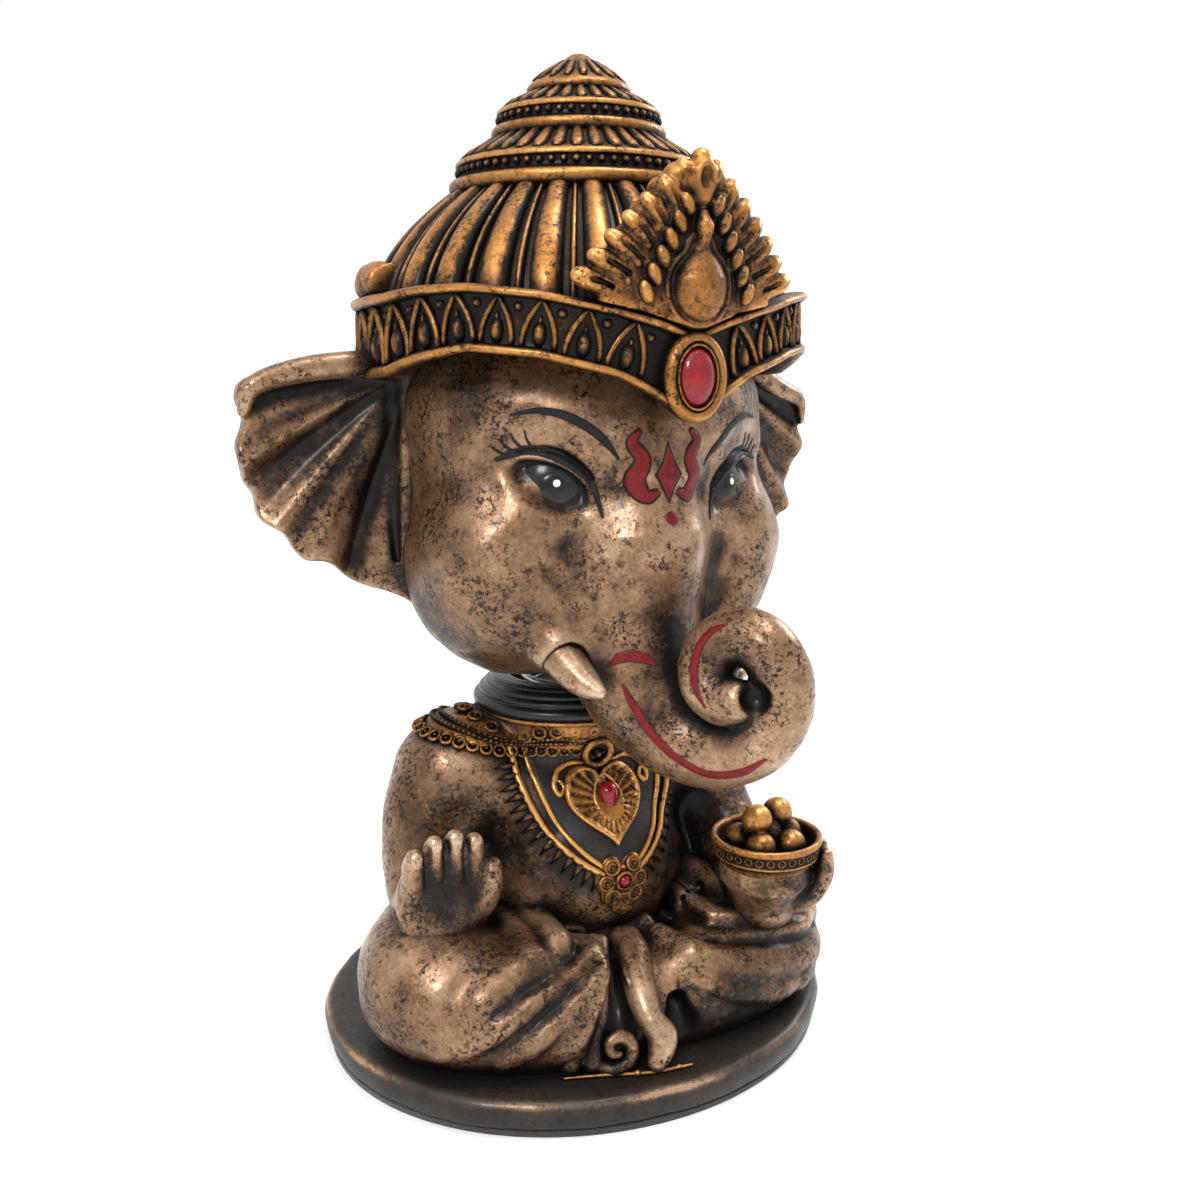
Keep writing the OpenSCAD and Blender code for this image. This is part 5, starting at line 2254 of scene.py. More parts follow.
    @staticmethod
    def front(c: Clay, spots: Sequence[Point]) -> np.ndarray:
        """Finds the clay's surface seen from the front.

        Args:
            c: the clay.
            spots: x, z, radius of each point.

        Returns:
            x, y, z, radius of each point on the surface.
        """
        out = []
        for x, z, r in spots:
            i = int(np.clip(round((x - c.low[0]) / c.step), 0, c.count[0] - 1))
            k = int(np.clip(round((z - c.low[2]) / c.step), 0, c.count[2] - 1))
            column = c.grid[i, :, k]
            inside = np.nonzero(column < 0)[0]
            y = c.low[1] + (inside[0] if len(inside) else 0) * c.step
            out.append((x, y, z, r))
        return np.array(out)

    def legs(self) -> None:
        """Sculpts the crossed legs under their wrapped cloth, with its folds."""
        c = Clay((-47, -38, 5.4), (46, 26, 32), self.step)
        c.limb(
            curve(
                [
                    (-13, 9, 16.6, 10.8), (-24, 2, 16.6, 11.8), (-31, -9.5, 16.2, 12.4),
                    (-22, -18.2, 13.6, 11.0), (-9, -22.5, 12, 9.6), (1, -23.0, 11.4, 8.6)
                ],
                3
            ),
            2.0
        )
        c.limb(
            curve(
                [
                    (13, 9, 16.6, 10.8), (22, 0, 16.4, 11.6), (27.4, -15.6, 15.2, 12.2),
                    (18, -21.6, 13.2, 10.8), (7, -24, 12, 9.2), (0, -23.2, 11.4, 8.4)
                ],
                3
            ),
            2.0
        )
        c.limb([(-16, 12, 13, 11.6), (16, 12, 13, 11.6)], 4.0)
        c.ball((0, 7, 14.5), (30, 19.5, 11.5), 6.0)
        c.limb([(0, -8, 12, 12), (0, 4, 12, 12)], 3.0)
        folds = (
            ((-7.6, 22.0), (-11.5, 18.8), (-16.0, 15.0), (-20.5, 11.4), (-25, 8.8)),
            ((-6.8, 21.0), (-9.6, 16.8), (-12.6, 12.6), (-16.0, 9.0)),
            ((-9.4, 22.8), (-15.0, 20.4), (-21, 17.0), (-28, 12.6), (-34, 9.4)),
            ((-11, 23.8), (-17, 22.8), (-23, 20.8), (-28, 18.0)),
            ((5.4, 21.4), (12, 21.4), (20, 20.4), (28, 19.2), (35, 18.4)),
            ((5.0, 19.6), (11, 17.2), (19, 14.8), (28, 13.0), (36, 12.2)),
            ((5.4, 17.0), (11, 13.4), (18, 10.6), (26, 8.8), (33, 8.0)),
            ((8.0, 22.8), (15, 23.6), (23, 23.4), (31, 22.4)),
        )
        for n, fold in enumerate(folds):
            count = len(fold)
            widths = [0.35 + 0.75 * math.sin(math.pi * (0.12 + 0.8 * i / (count - 1))) for i in range(count)]
            path = curve([(x, z, w) for (x, z), w in zip(fold, widths)], 6)
            on = self.front(c, path)
            on[:, 1] -= on[:, 3] * 0.25
            on[:, 3] *= 0.75
            c.limb(on, 2.0, True)
            lift = on.copy()
            lift[:, 2] += 1.9 if n != 3 else 1.4
            again = self.front(c, lift[:, [0, 2, 3]])
            again[:, 3] = 0.9 + again[:, 3] * 1.3
            again[:, 1] += again[:, 3] - 0.35
            c.limb(again, 3.0)
        c.limb(
            curve([(-5.0, -22.5, 20.0, 1.0), (-7.4, -29.6, 15.0, 2.6), (-9.4, -33.2, 9.0, 3.2)], 4), 2.4, True
        )
        c.limb(
            curve([(2.4, -22.5, 18.6, 0.8), (3.2, -29.6, 14.0, 2.0), (3.0, -34.2, 8.0, 2.6)], 4), 2.4, True
        )
        # Painted shade round the foot, between folds and low on the legs (amount above zero), and a painted
        # highlight on the right knee (below zero).
        c.painted_shading_spots += [
            (-7, -30, 12, 5, 0.8), (4, -31, 11, 5, 0.7), (-16, -24, 19, 5, 0.3), (14, -31, 9, 8, 0.55),
            (26, -27, 9, 7, 0.4), (-36, -14, 22, 7, -0.2), (12, -22, 22, 4, 0.3), (-24, -28, 8, 6, 0.3)
        ]
        c.limb(
            [
                (-18, -13.6, 24.4, 0.6), (-10, -17.6, 22.8, 0.9), (0, -18.8, 22.4, 0.9),
                (10, -17.6, 22.8, 0.9), (18, -13.6, 24.4, 0.6)
            ],
            1.2, True
        )
        c.press(
            lambda x, y,
            z: 0.10 * np.sin(x * 0.5 + np.sin(z * 0.33 + y * 0.2) * 2) * np.sin(z * 0.5 + y * 0.41)
        )
        c.keep(lambda x, y, z: 5.9 - z)
        c.piece("wrapped_legs", SKIN, Body.FIGURE, ("legs_dhoti",))

    def foot_and_pleat(self) -> None:
        """Sculpts the front foot, the hanging pleat with its curl, and the thin gold hem line."""
        c = Clay((-14, -40, 5.4), (14, -14, 27), 0.3)
        foot = [
            (0.2, -18.5, 19.6, 3.3), (-0.8, -23.6, 19.0, 3.2), (-2.4, -28.8, 16.4, 2.7),
            (-2.4, -32.2, 13.2, 2.3), (-1.2, -33.6, 10.9, 2.5), (-2.0, -34.6, 8.8, 2.1),
            (-3.0, -35.2, 7.5, 1.6)
        ]
        c.limb(curve(foot, 5), 0.6)
        for i in range(3):
            x = -4.2 + 1.0 * i
            c.limb(
                [(x, -36.9, 6.4, 0.15), (x + 0.2, -36.8, 7.6, 0.24), (x + 0.5, -36.2, 8.8, 0.12)], 0.25, True
            )
        c.piece("front_foot_sculpted", SKIN, Body.FIGURE, ("front_foot",))
        p = Clay((-18, -40, 5.4), (6, -14, 27), 0.3)
        for path in (
            (
                (-6.6, -19.6, 22.2, 1.3), (-10.4, -25.0, 19.0, 1.5), (-13.8, -28.4, 13.4, 1.7),
                (-15.6, -29.6, 7.6, 1.7)
            ),
            (
                (-5.0, -19.8, 21.8, 1.2), (-8.0, -25.6, 18.4, 1.3), (-10.6, -29.4, 13.0, 1.4),
                (-12.4, -31.0, 7.6, 1.5)
            )
        ):
            p.limb(curve(path, 5), 0.9)
        curl = [
            (-11.6, -31.4, 7.2, 1.2), (-9.2, -33.0, 6.9, 1.25), (-7.0, -33.4, 8.2, 1.25),
            (-6.6, -33.2, 10.6, 1.2), (-8.2, -32.8, 12.2, 1.1), (-10.2, -32.6, 11.6, 0.95),
            (-10.0, -33.0, 9.9, 0.85), (-8.8, -33.3, 9.6, 0.7)
        ]
        p.limb(curve(curl, 5), 0.3)
        # Painted shade in the curl of the pleat.
        p.painted_shading_spots += [(-9, -33, 10, 5, 0.45)]
        p.keep(lambda x, y, z: 6.0 - z)
        p.piece("pleat_and_curl", SKIN, Body.FIGURE, ("dhoti_pleat",), 0.12)
        hem = curve(
            [
                (-17.5, -31.0, 6.5, 0.22), (-11, -33.2, 6.5, 0.3), (-5, -35.6, 6.5, 0.34),
                (0.5, -36.6, 6.5, 0.3), (2.6, -36.8, 6.5, 0.2)
            ],
            8
        )
        h = Clay((-19, -39, 5.6), (5, -29, 8), 0.16).limb(hem, 0.2)
        h.ball((-6.5, -35.1, 6.6), 0.6, 0.2).ball((0.2, -36.6, 6.6), 0.5, 0.2)
        h.piece("hem_line", GOLD, Body.FIGURE)


@dataclass
class Bowl:
    """The bowl of sweets in the left hand."""

    at: Tuple[float, float, float] = (23.5, -26.0, 29.6)
    rim: float = 9.4
    high: float = 8.6

    def build(self) -> None:
        """Makes the bowl, its band of rings and the sweets."""
        x, y, z = self.at
        r, h = self.rim, self.high
        line = [
            (0, 0), (3.8, 0), (4.4, 0.3), (6.6, 1.9), (7.9, 4.0), (8.2, 5.0), (8.9, 5.2), (9.0, 5.5),
            (8.7, 5.8), (8.85, 7.2), (9.3, 7.5), (9.5, 7.9), (9.4, h), (8.9, h + 0.1), (8.3, h - 0.3),
            (7.9, 6.4), (7.0, 5.0), (5.4, 3.0), (3.2, 1.3), (0, 1.2)
        ]
        turned(
            "offering_bowl_turned", [(a, z + b) for a, b in line], GOLD, Body.FIGURE, ("offering_bowl",), 128,
            (x, y)
        )
        count = 30
        angles = [FULL_TURN * i / count for i in range(count)]
        spots = [(x + 8.72 * math.cos(a), y + 8.72 * math.sin(a), z + 6.55) for a in angles]
        outs = [(math.cos(a), math.sin(a), 0) for a in angles]
        REPEATER.place("bowl_rings", DISC, spots, outs, [(0, 0, 1)] * count, GOLD, Body.FIGURE, size=0.56)
        c = Clay((x - 9, y - 9, z + 2), (x + 9, y + 9, z + 18), 0.3)
        lower, upper = 7.6, 11.6
        for i in range(5):
            a = math.radians(72 * i + 8)
            c.ball((x + 4.6 * math.cos(a), y + 4.6 * math.sin(a), z + lower), (2.62, 2.55, 2.6), 0.15)
        for dx, dy in ((-2.6, -0.8), (2.5, 0.6)):
            c.ball((x + dx, y + dy, z + upper), (2.6, 2.6, 2.7), 0.15)
        c.ball((x, y, z + 8.8), (2.5, 2.5, 2.4), 0.15)
        c.piece("sweets_piled", GOLD, Body.FIGURE, ("sweets",), 0.02)


@dataclass
class Jewellery:
    """Collar, long necklace, heart pendant, flower drop, and the ringed neck."""

    clay: Clay
    tree: BVHTree
    neck_y: float = NECK_Y

    def touch(self, start: Point, way: Point) -> Tuple[np.ndarray, np.ndarray]:
        """Finds where a line meets the body.

        Args:
            start: where it starts.
            way: its direction.

        Returns:
            The place and the surface's direction.
        """
        hit, normal, _, _ = self.tree.ray_cast(Vector(start), Vector(unit(way)), 90.0)
        if hit is None:
            return np.asarray(start, float), -unit(way)
        return np.array(hit), np.array(normal)

    def chest(self, x: float, z: float) -> Tuple[np.ndarray, np.ndarray]:
        """Finds the front of the body at x, z."""
        return self.touch((x, -45, z), (0, 1, 0))

    def build(self) -> None:
        """Makes every piece of jewellery."""
        self.collar()
        self.necklace()
        self.heart()
        self.flower()
        self.neck()

    def around(self, wide: float, deep: float, side_z: float, front_z: float, count: int) -> Rows:
        """Lays a row of places round the neck, on the body.

        Args:
            wide: half the row's width.
            deep: half its depth.
            side_z: height aimed at on the shoulders.
            front_z: height aimed at in front.
            count: places in the row.

        Returns:
            Places, outward directions and directions along the row.
        """
        angles = np.linspace(0, FULL_TURN, 721)
        ring = np.column_stack([wide * np.cos(angles), self.neck_y + deep * np.sin(angles)])
        run = np.concatenate([[0], np.cumsum(np.linalg.norm(np.diff(ring, axis=0), axis=1))])
        chosen = np.interp(np.arange(count) / count * run[-1], run, angles)
        spots, outs = [], []
        for a in chosen:
            w = math.cos(a) ** 2
            o = np.array([math.cos(a), math.sin(a), 0.0])
            aim = np.array(
                [wide * math.cos(a), self.neck_y + deep * math.sin(a), front_z + (side_z - front_z) * w**0.75]
            )
            back = o * (1 - 0.75 * w) + np.array([0, 0, 0.3 + 0.7 * w])
            hit, normal = self.touch(aim + unit(back) * 12, -back)
            spots.append(hit)
            outs.append(unit(unit(normal) + 0.3 * unit(back)))
        ways = [unit(spots[(i + 1) % count] - spots[i - 1]) for i in range(count)]
        return spots, outs, ways

    def row(self, name: str, shape: Shape, rows: Rows,
            size: float, lift: float = 0.0, uneven: float = 0.0) -> None:
        """Sets a shape along a row, its +Y away from the neck.

        Args:
            name: the piece's name.
            shape: the shape.
            rows: places, outward directions and directions along the row.
            size: its scale.
            lift: height over the body.
            uneven: how much smaller a hand-made one may be.
        """
        spots, outs, ways = rows
        ups = [unit(np.cross(w, o)) for o, w in zip(outs, ways)]
        REPEATER.place(
            name, shape, [p + o * lift for p, o in zip(spots, outs)], outs, ups, GOLD, Body.FIGURE, size=size,
            uneven=uneven
        )

    def collar(self) -> None:
        """Makes the collar: its ground, two bands, an inner row of beads and an outer row of discs."""
        n_y = self.neck_y

        def region(x: Grid, y: Grid, z: Grid) -> Grid:
            """Gives the distance to the collar's outline."""
            oval = (np.sqrt((x / 28.4) ** 2 + ((y - n_y) / 19) ** 2) - 1) * 19
            low = 51.6 + 4.2 * (np.minimum(np.abs(x), 28) / 28) ** 2
            return np.maximum(oval, low - z)

        ground = self.clay.skin(0.75, region, 0.6)
        ground.press(
            lambda x, y,
            z: 0.30 * np.exp(-(((np.sqrt((x / 24.4) ** 2 + ((y - n_y) / 14.6) ** 2) - 1) * 16) / 1.1) ** 2)
        )
        ground.keep(lambda x, y, z: np.maximum(z - 57.4, 9.9 - np.sqrt(x * x + (y - n_y) ** 2)))
        ground.piece("collar_ground", GOLD, Body.FIGURE, ("collar",), 0.10)
        outer = self.around(27.6, 14.4, 57.0, 52.3, 64)
        self.row("collar_outer_discs", DISC, outer, 1.0, 0.55, 0.06)
        inner = self.around(19.6, 14.9, 59.0, 55.6, 34)
        self.row("collar_inner_beads", DISC, inner, 1.15, 0.6, 0.06)
        link = dome_shape(1.0, 1.5, 0.5, 6, 2)
        for k, (wide, deep, side_z, front_z, count) in enumerate(
            ((24.9, 14.8, 58.0, 53.7, 150), (23.4, 14.8, 58.4, 54.5, 140))
        ):
            spots, outs, ways = self.around(wide, deep, side_z, front_z, count)
            self.row(
                f"collar_cord_{k + 1}", link, (spots, outs, [np.cross(w, o) for w, o in zip(ways, outs)]),
                0.95, 0.75
            )

    def necklace(self) -> None:
        """Makes the long necklace: a dark ground, two gold rails and a fringe of points."""
        half = [(-14.6, 52.4), (-14.0, 47.5), (-12.4, 42.4), (-9.6, 37.6), (-6.0, 34.2), (-2.4, 32.2)]
        line = curve(half + [(0, 31.6)] + [(-x, z) for x, z in half[::-1]], 6)
        inside = curve(
            [(x * 0.84, z + 0.9) for x, z in half] + [(0, 33.4)]
            + [(-x * 0.84, z + 0.9) for x, z in half[::-1]],
            6
        )

        def region(x: Grid, y: Grid, z: Grid) -> Grid:
            """Gives the distance to the dark ground's outline."""
            flat = outline_distance(x[:, :, 0], z[0, 0][None, :], inside)[:, None, :]
            return np.maximum(np.maximum(flat, y + 1), z - 52.4)

        ground = self.clay.skin(0.32, region, 0.5)
        ground.piece("necklace_dark_ground", PLINTH_DARK, Body.FIGURE, (), 0.7)
        for name, path, wide in (("outer", line, 0.62), ("inner", inside, 0.5)):
            c = Clay((-19, -22, 28), (19, 0, 55), 0.22)
            on = np.array([(*(self.chest(x, z)[0] + self.chest(x, z)[1] * 0.35), wide) for x, z in path])
            c.limb(on, 0.2)
            c.piece(f"necklace_rail_{name}", GOLD, Body.FIGURE, ("long_necklace",) if name == "outer" else ())
        run = np.concatenate([[0], np.cumsum(np.linalg.norm(np.diff(line, axis=0), axis=1))])
        count = 34
        spots, outs, ups = [], [], []
        for s in (np.arange(count) + 0.5) / count * run[-1]:
            x, z = (np.interp(s, run, row) for row in line.T)
            dx, dz = (np.interp(s + 0.3, run, row) - np.interp(s - 0.3, run, row) for row in line.T)
            away = unit((dz, 0, -dx))
            away *= -1 if away @ np.array([-x, 0, 42 - z]) > 0 else 1
            if z > 50.6:
                continue
            place, normal = self.chest(x + away[0] * 1.75, z + away[2] * 1.75)
            spots.append(place + normal * 0.1)
            outs.append(normal)
            ups.append(away)
        point = (
            np.array(
                [
                    (-0.72, -1.2, 0), (0.72, -1.2, 0), (0.0, 1.45, 0), (0, -1.1, 0.85), (0, 0.2, 0.55),
                    (-0.72, -1.2, -0.4), (0.72, -1.2, -0.4), (0, 1.45, -0.4)
                ]
            ),
            [
                (0, 3, 4), (0, 4, 2), (3, 1, 4), (1, 2, 4), (0, 1, 3), (1, 0, 5, 6), (2, 1, 6, 7),
                (0, 2, 7, 5), (6, 5, 7)
            ],
            np.array([0.7, 0.7, 0.4, 0, 0, 0.9, 0.9, 0.9])
        )
        REPEATER.place("necklace_fringe", point, spots, outs, ups, GOLD, Body.FIGURE, size=1.45, uneven=0.15)

    def heart(self) -> None:
        """Makes the heart pendant with its flutes, its red drop, its scrolls and the disc over it."""
        t = np.linspace(0, FULL_TURN, 60, endpoint=False)
        outline = np.column_stack(
            [
                6.9 * np.sin(t) ** 3 * 1.02 - 0.5,
                43.9 + 0.54 * (13 * np.cos(t) - 3.4 * np.cos(2 * t) - 2 * np.cos(3 * t) - np.cos(4 * t))
            ]
        )
        outline[:, 1] = 43.6 + (outline[:, 1] - 43.6) * np.where(outline[:, 1] < 43.6, 0.86, 0.88)

        def region(x: Grid, y: Grid, z: Grid) -> Grid:
            """Gives the distance to the heart's outline."""
            flat = outline_distance(x[:, :, 0], z[0, 0][None, :], outline)[:, None, :]
            return np.maximum(flat, y + 1)

        fine = Clay((-10, -24, 32), (10, -4, 54), 0.24)
        Figure.torso_points(fine)
        layer = fine.skin(1.25, region, 0.6)

        def flutes(x: Grid, y: Grid, z: Grid) -> Grid:
            """Gives the flutes that run out from the drop."""
            a = np.arctan2(x, z - 43.6)
            r = np.sqrt(x * x + (z - 43.6) ** 2)
            flat = outline_distance(x[:, :, 0], z[0, 0][None, :], outline)[:, None, :]
            zone = np.clip((-flat - 0.8) / 0.4, 0, 1) * np.clip((r - 2.4) / 0.4, 0, 1)
            return (
                (0.5 * np.abs(np.sin(a * 12)) ** 0.8 - 0.5) * zone
                + 0.34 * np.exp(-((flat + 0.45) / 0.4) ** 2)
            )

        layer.press(flutes)
        layer.piece("heart_pendant_relief", GOLD, Body.FIGURE, ("heart_pendant",), 0.05)
        drop = [(2.05 * z * (1 - 0.35 * x), 44.0 + 2.9 * x) for x, z in ring_points(1, 1, 40)]
        drop = [(x, z) if z > 44 else (x * max(0.05, 1 - 0.16 * (44 - z)), z) for x, z in drop]
        place, _ = self.chest(0, 44)
        stone = Clay((-4, -22, 38), (4, -6, 49), 0.2)
        egg = [
            (0, place[1] - 0.9, 45.0, 1.75), (0, place[1] - 1.25, 43.6, 1.35), (0, place[1] - 1.9, 41.8, 0.6)
        ]
        stone.limb(curve(egg, 5), 0.3)
        stone.piece("pendant_red_drop", RED, Body.FIGURE, ("pendant_stone",))
        ring = Clay((-5, -22, 37), (5, -6, 50), 0.2)
        hoop = [(x * 1.25, self.chest(x, z)[0][1] - 1.25, 44.0 + (z - 44.0) * 1.2, 0.36) for x, z in drop]
        ring.limb(hoop + hoop[:1], 0.2)
        ring.piece("pendant_drop_rim", GOLD, Body.FIGURE)
        curls = Clay((-12, -20, 42), (12, -3, 55), 0.22)
        for side in (-1, 1):
            path = [
                (side * 2.2, 49.4, 0.5), (side * 4.8, 49.6, 0.55), (side * 7.4, 48.4, 0.55),
                (side * 8.8, 46.4, 0.5), (side * 8.2, 45.0, 0.5), (side * 7.2, 45.8, 0.45),
                (side * 7.6, 46.8, 0.45)
            ]
            on = [(*(self.chest(x, z)[0] + self.chest(x, z)[1] * 0.5), w) for x, z, w in curve(path, 4)]
            curls.limb(on, 0.2)
        curls.piece("pendant_scrolls", GOLD, Body.FIGURE)
        place, normal = self.chest(-0.6, 51.6)
        REPEATER.place(
            "pendant_top_disc", DISC, [place + normal * 0.9], [normal], [(0, 0, 1)], GOLD, Body.FIGURE,
            size=2.3
        )

    def flower(self) -> None:
        """Makes the flower at the foot of the necklace, with its small red stone."""
        spots = [
            (-1.9, 33.6, 1.0), (1.9, 33.6, 1.0), (-2.9, 31.0, 1.0), (2.9, 31.0, 1.0), (-2.0, 28.7, 1.0),
            (2.0, 28.7, 1.0), (0.0, 27.9, 0.95), (-0.9, 26.4, 0.6), (0.9, 26.4, 0.6), (0.0, 25.9, 0.6)
        ]
        hits = [self.chest(x, z) for x, z, _ in spots]
        REPEATER.place(
            "drop_flower_discs", DISC, [p + n * 0.7 for p, n in hits], [n for _, n in hits],
            [(0, 0, 1)] * len(hits), GOLD, Body.FIGURE, size=1.25, sizes=[s for _, _, s in spots]
        )
        ground = Clay((-7, -25, 23), (7, -12, 37), 0.25)
        for x, z, s in spots + [(0, 31, 1.4)]:
            p, _ = self.chest(x, z)
            ground.ball(p, (1.9 * s, 1.0, 1.9 * s), 0.8)
        ground.piece("drop_flower_ground", GOLD, Body.FIGURE, ("drop_flower",), 0.2)
        p, n = self.chest(0, 31.2)
        REPEATER.place(
            "drop_red_stone", dome_shape(2.2, 2.2, 1.1, 20, 6), [p + n * 0.9], [n], [(0, 0, 1)], RED,
            Body.FIGURE, nodes=("drop_stone",)
        )
        ring = strip_shape(ring_points(1.45, 1.45, 20), 0.7, 0.6, True)
        REPEATER.place("drop_stone_rim", ring, [p + n * 0.9], [n], [(0, 0, 1)], GOLD, Body.FIGURE)

    def neck(self) -> None:
        """Makes the ringed neck piece and the gold line under it."""
        z, r = 57.5, 16.4
        line = [
            (9.8, 0.0), (r - 0.6, 0.0), (r, 0.5), (r + 0.05, 1.2), (r - 0.3, 1.9), (r - 1.2, 2.1),
            (r - 1.0, 2.6), (r - 1.2, 3.1), (r - 2.1, 3.3), (r - 2.0, 3.8), (r - 2.4, 4.2), (r - 3.2, 4.35),
            (r - 3.2, 4.8), (r - 3.9, 5.1), (r - 4.8, 5.2), (r - 5.4, 5.35), (10.4, 5.3), (9.8, 4.9)
        ]
        p = soften([(a, z + b) for a, b in line + line[:1]])[:-1]
        verts, faces = lathe(p, 160, (0, self.neck_y))
        clean = np.zeros(len(verts))
        marks = {"wash": clean, "rub": clean}
        tidy(dress("neck_ring_turned", verts, faces, NECK_DARK, Body.FIGURE, ("neck_ring",), marks))
        verts, faces = lathe(
            [(15.75 + a, 57.15 + b) for a, b in ring_points(0.45, 0.45, 10)], 140, (0, self.neck_y)
        )
        marks = {"wash": np.zeros(len(verts)), "rub": np.full(len(verts), 0.4)}
        tidy(dress("neck_gold_line", verts, faces, GOLD, Body.FIGURE, (), marks))


@dataclass
class Spring:
    """The coil that the head bobs on."""

    radius: float = 7.4
    wire: float = 0.75
    turns: float = 6.0
    low: float = 57.3
    high: float = 76.1
    neck_y: float = NECK_Y

    def build(self) -> None:
        """Makes the coil with Geometry Nodes and sets it between its two ends."""
        tree = bpy.data.node_groups.new("wind_coil", "GeometryNodeTree")
        face = tree.interface
        for name in ("Radius", "Height", "Turns", "Wire"):
            face.new_socket(name, in_out="INPUT", socket_type="NodeSocketFloat")
        face.new_socket("Finish", in_out="INPUT", socket_type="NodeSocketMaterial")
        face.new_socket("Coil", in_out="OUTPUT", socket_type="NodeSocketGeometry")
        keys = {item.name: item.identifier for item in face.items_tree if item.in_out == "INPUT"}
        source, sink = tree.nodes.new("NodeGroupInput"), tree.nodes.new("NodeGroupOutput")
        spiral, ring = (
            tree.nodes.new("GeometryNodeCurveSpiral"), tree.nodes.new("GeometryNodeCurvePrimitiveCircle")
        )
        sweep, real = (
            tree.nodes.new("GeometryNodeCurveToMesh"), tree.nodes.new("GeometryNodeRealizeInstances")
        )
        paint = tree.nodes.new("GeometryNodeSetMaterial")
        spiral.inputs["Resolution"].default_value = 40
        ring.inputs["Resolution"].default_value = 14
        sweep.inputs["Fill Caps"].default_value = True
        link = tree.links.new
        link(source.outputs["Turns"], spiral.inputs["Rotations"])
        link(source.outputs["Radius"], spiral.inputs["Start Radius"])
        link(source.outputs["Radius"], spiral.inputs["End Radius"])
        link(source.outputs["Height"], spiral.inputs["Height"])
        link(source.outputs["Wire"], ring.inputs["Radius"])
        link(spiral.outputs["Curve"], sweep.inputs["Curve"])
        link(ring.outputs["Curve"], sweep.inputs["Profile Curve"])
        link(sweep.outputs["Mesh"], real.inputs["Geometry"])
        link(real.outputs["Geometry"], paint.inputs["Geometry"])
        link(source.outputs["Finish"], paint.inputs["Material"])
        link(paint.outputs["Geometry"], sink.inputs["Coil"])
        host = bpy.data.objects.new("coil_host", bpy.data.meshes.new("coil_host"))
        bpy.context.scene.collection.objects.link(host)
        modifier = host.modifiers.new("wind", "NODES")
        modifier.node_group = tree
        for name, value in (("Radius", self.radius), ("Height", self.high - self.low), ("Wire", self.wire)):
            modifier[keys[name]] = value * MM
        modifier[keys["Turns"]] = self.turns
        modifier[keys["Finish"]] = PALETTE.get(STEEL)
        bpy.context.view_layer.update()
        mesh = bpy.data.meshes.new_from_object(host.evaluated_get(bpy.context.evaluated_depsgraph_get()))
        host.modifiers.remove(modifier)
        bpy.data.objects.remove(host)
        co = np.empty(len(mesh.vertices) * 3, np.float32)
        mesh.vertices.foreach_get("co", co)
        co = co.reshape(-1, 3) + np.array([0, self.neck_y, self.low]) * MM
        mesh.vertices.foreach_set("co", co.ravel())
        mesh.update()
        coil = bpy.data.objects.new("neck_coil", mesh)
        bpy.context.scene.collection.objects.link(coil)
        mesh.materials.clear()
        mesh.materials.append(PALETTE.get(STEEL))
        tidy(coil)
        mesh.polygons.foreach_set("use_smooth", [True] * len(mesh.polygons))
        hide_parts("neck_spring")
        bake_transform(coil)
        log.info("neck_coil: %d faces between figure and spring", len(mesh.polygons))


# ---------------------------------------------------------------- studio


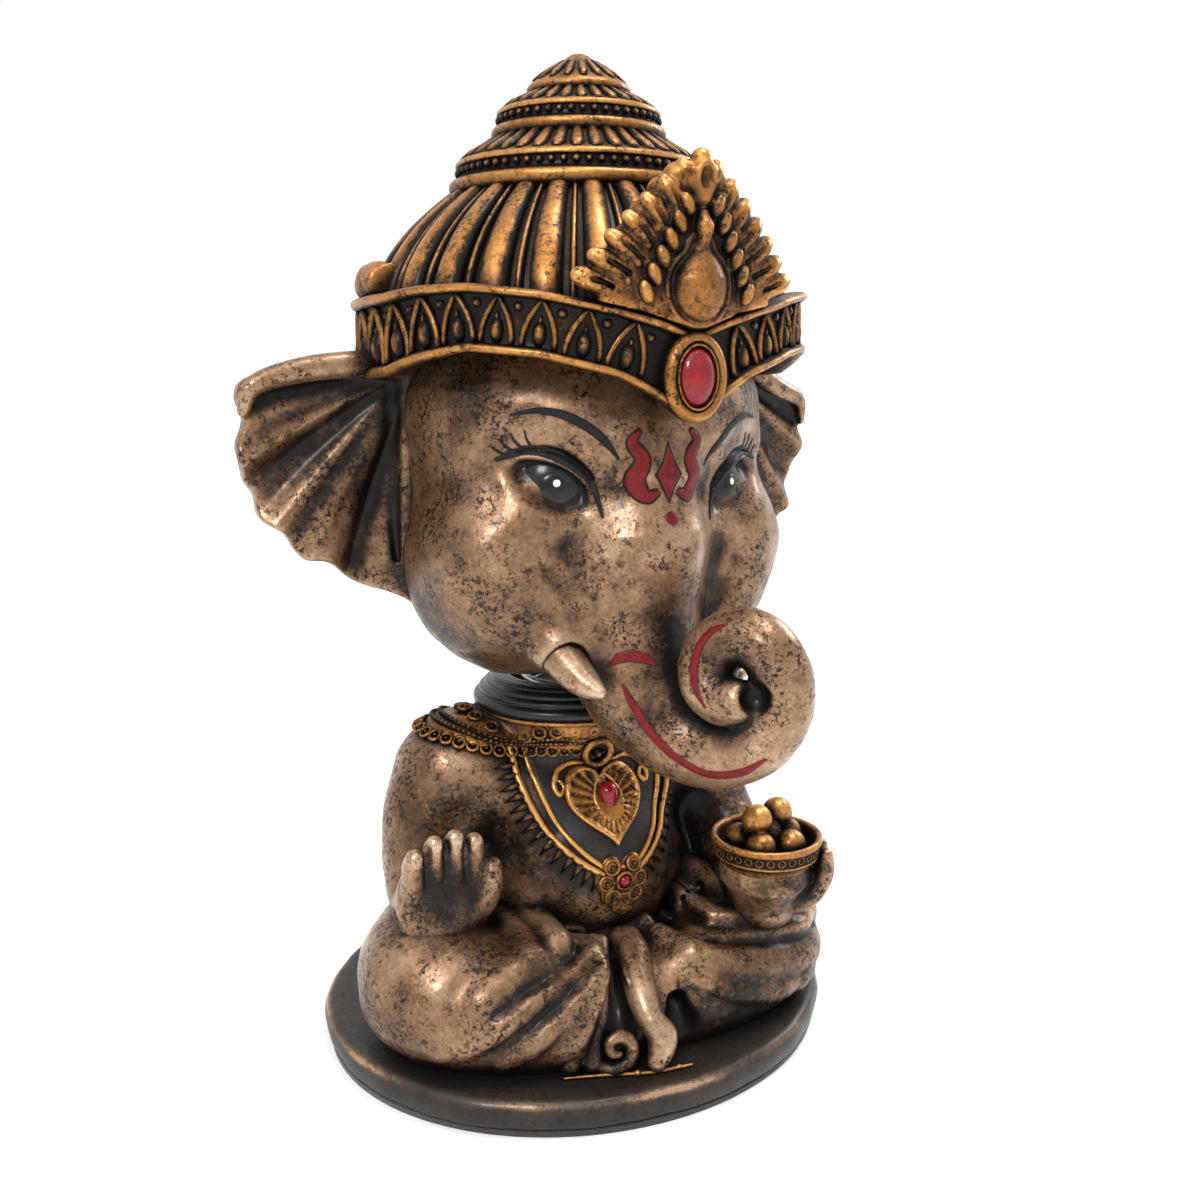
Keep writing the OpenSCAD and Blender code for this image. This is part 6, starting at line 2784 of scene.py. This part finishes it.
def studio() -> None:
    """Sets the floor, the lights and the camera."""
    n = Nodes("pale_floor")
    n.feed(
        n.shader, "Base Color",
        n.ramp(n.noise(3.0, 2.0), ((0.3, (0.86, 0.86, 0.86)), (0.7, (0.88, 0.88, 0.88))))
    )
    n.feed(n.shader, "Roughness", 0.9)
    mesh = bpy.data.meshes.new("floor")
    s = 3.0
    mesh.from_pydata([(-s, -s, 0), (s, -s, 0), (s, s, 0), (-s, s, 0)], [], [(0, 1, 2, 3)])
    floor = bpy.data.objects.new("floor", mesh)
    mesh.materials.append(n.material)
    bpy.context.scene.collection.objects.link(floor)

    world = bpy.data.worlds.new("soft_room")
    bpy.context.scene.world = world
    world.use_nodes = True
    back = world.node_tree.nodes["Background"]
    back.inputs["Color"].default_value = (1.0, 1.0, 1.0, 1.0)
    back.inputs["Strength"].default_value = 1.0

    def lamp(name: str, at: Point, size: float, power: float, warm: Colour = (1, 1, 1)) -> None:
        """Adds one square soft light aimed at the figure.

        Args:
            name: the light's name.
            at: its place in metres.
            size: its side.
            power: its power in watts.
            warm: its colour.
        """
        data = bpy.data.lights.new(name, "AREA")
        data.shape, data.size, data.energy, data.color = "SQUARE", size, power, warm
        light = bpy.data.objects.new(name, data)
        light.location = at
        light.rotation_euler = (Vector((0, 0, 0.09)) - Vector(at)).to_track_quat("-Z", "Y").to_euler()
        bpy.context.scene.collection.objects.link(light)

    lamp("key_left", (-0.45, -0.40, 0.50), 0.16, 2.6)
    lamp("top_soft", (0.12, -0.10, 0.65), 0.20, 2.2)
    lamp("right_back", (0.50, 0.10, 0.35), 0.20, 1.2)
    sky = bpy.data.objects.new("even_sky", bpy.data.lights.new("even_sky", "SUN"))
    sky.data.energy, sky.data.angle = 0.9, math.radians(50)
    sky.rotation_euler = Vector((0.45, 0.35, -1.0)).to_track_quat("-Z", "Y").to_euler()
    bpy.context.scene.collection.objects.link(sky)

    data = bpy.data.cameras.new("camera")
    data.sensor_width, data.lens, data.clip_start = 36.0, 36.81, 0.01
    camera = bpy.data.objects.new("camera", data)
    camera.location = (-0.0921, -0.1887, 0.1185)
    heading, down = math.radians(27.2), math.radians(11.4)
    aim = Vector((math.sin(heading) * math.cos(down), math.cos(heading) * math.cos(down), -math.sin(down)))
    camera.rotation_euler = aim.to_track_quat("-Z", "Y").to_euler()
    bpy.context.scene.collection.objects.link(camera)
    bpy.context.scene.camera = camera
    bpy.context.scene.view_settings.view_transform = "Standard"


def dress_frame() -> None:
    """Gives every CAD node that stays in view a finish of its own."""
    slots = {
        "bronze_skin": SKIN, "gold_bronze": GOLD, "dark_bronze": PLINTH_DARK, "red_stone": RED,
        "spring_steel": STEEL, "dark_felt": FELT
    }
    for part in frame["record"]["subparts"]:
        node = frame["nodes"].get(part["node"])
        if node is None:
            continue
        finish = slots[part["material_slot"]]
        for slot in node.material_slots:
            slot.link = "OBJECT"
            slot.material = PALETTE.get(finish)


def main() -> None:
    """Builds the idol, one sub-assembly after another."""
    logging.basicConfig(level=logging.INFO, format="%(name)s %(message)s")
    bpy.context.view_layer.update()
    dress_frame()
    Head().build()
    Crown().build()
    clay, tree = Figure().build()
    Jewellery(clay, tree).build()
    Bowl().build()
    Spring().build()
    studio()


if __name__ == "__main__":
    main()
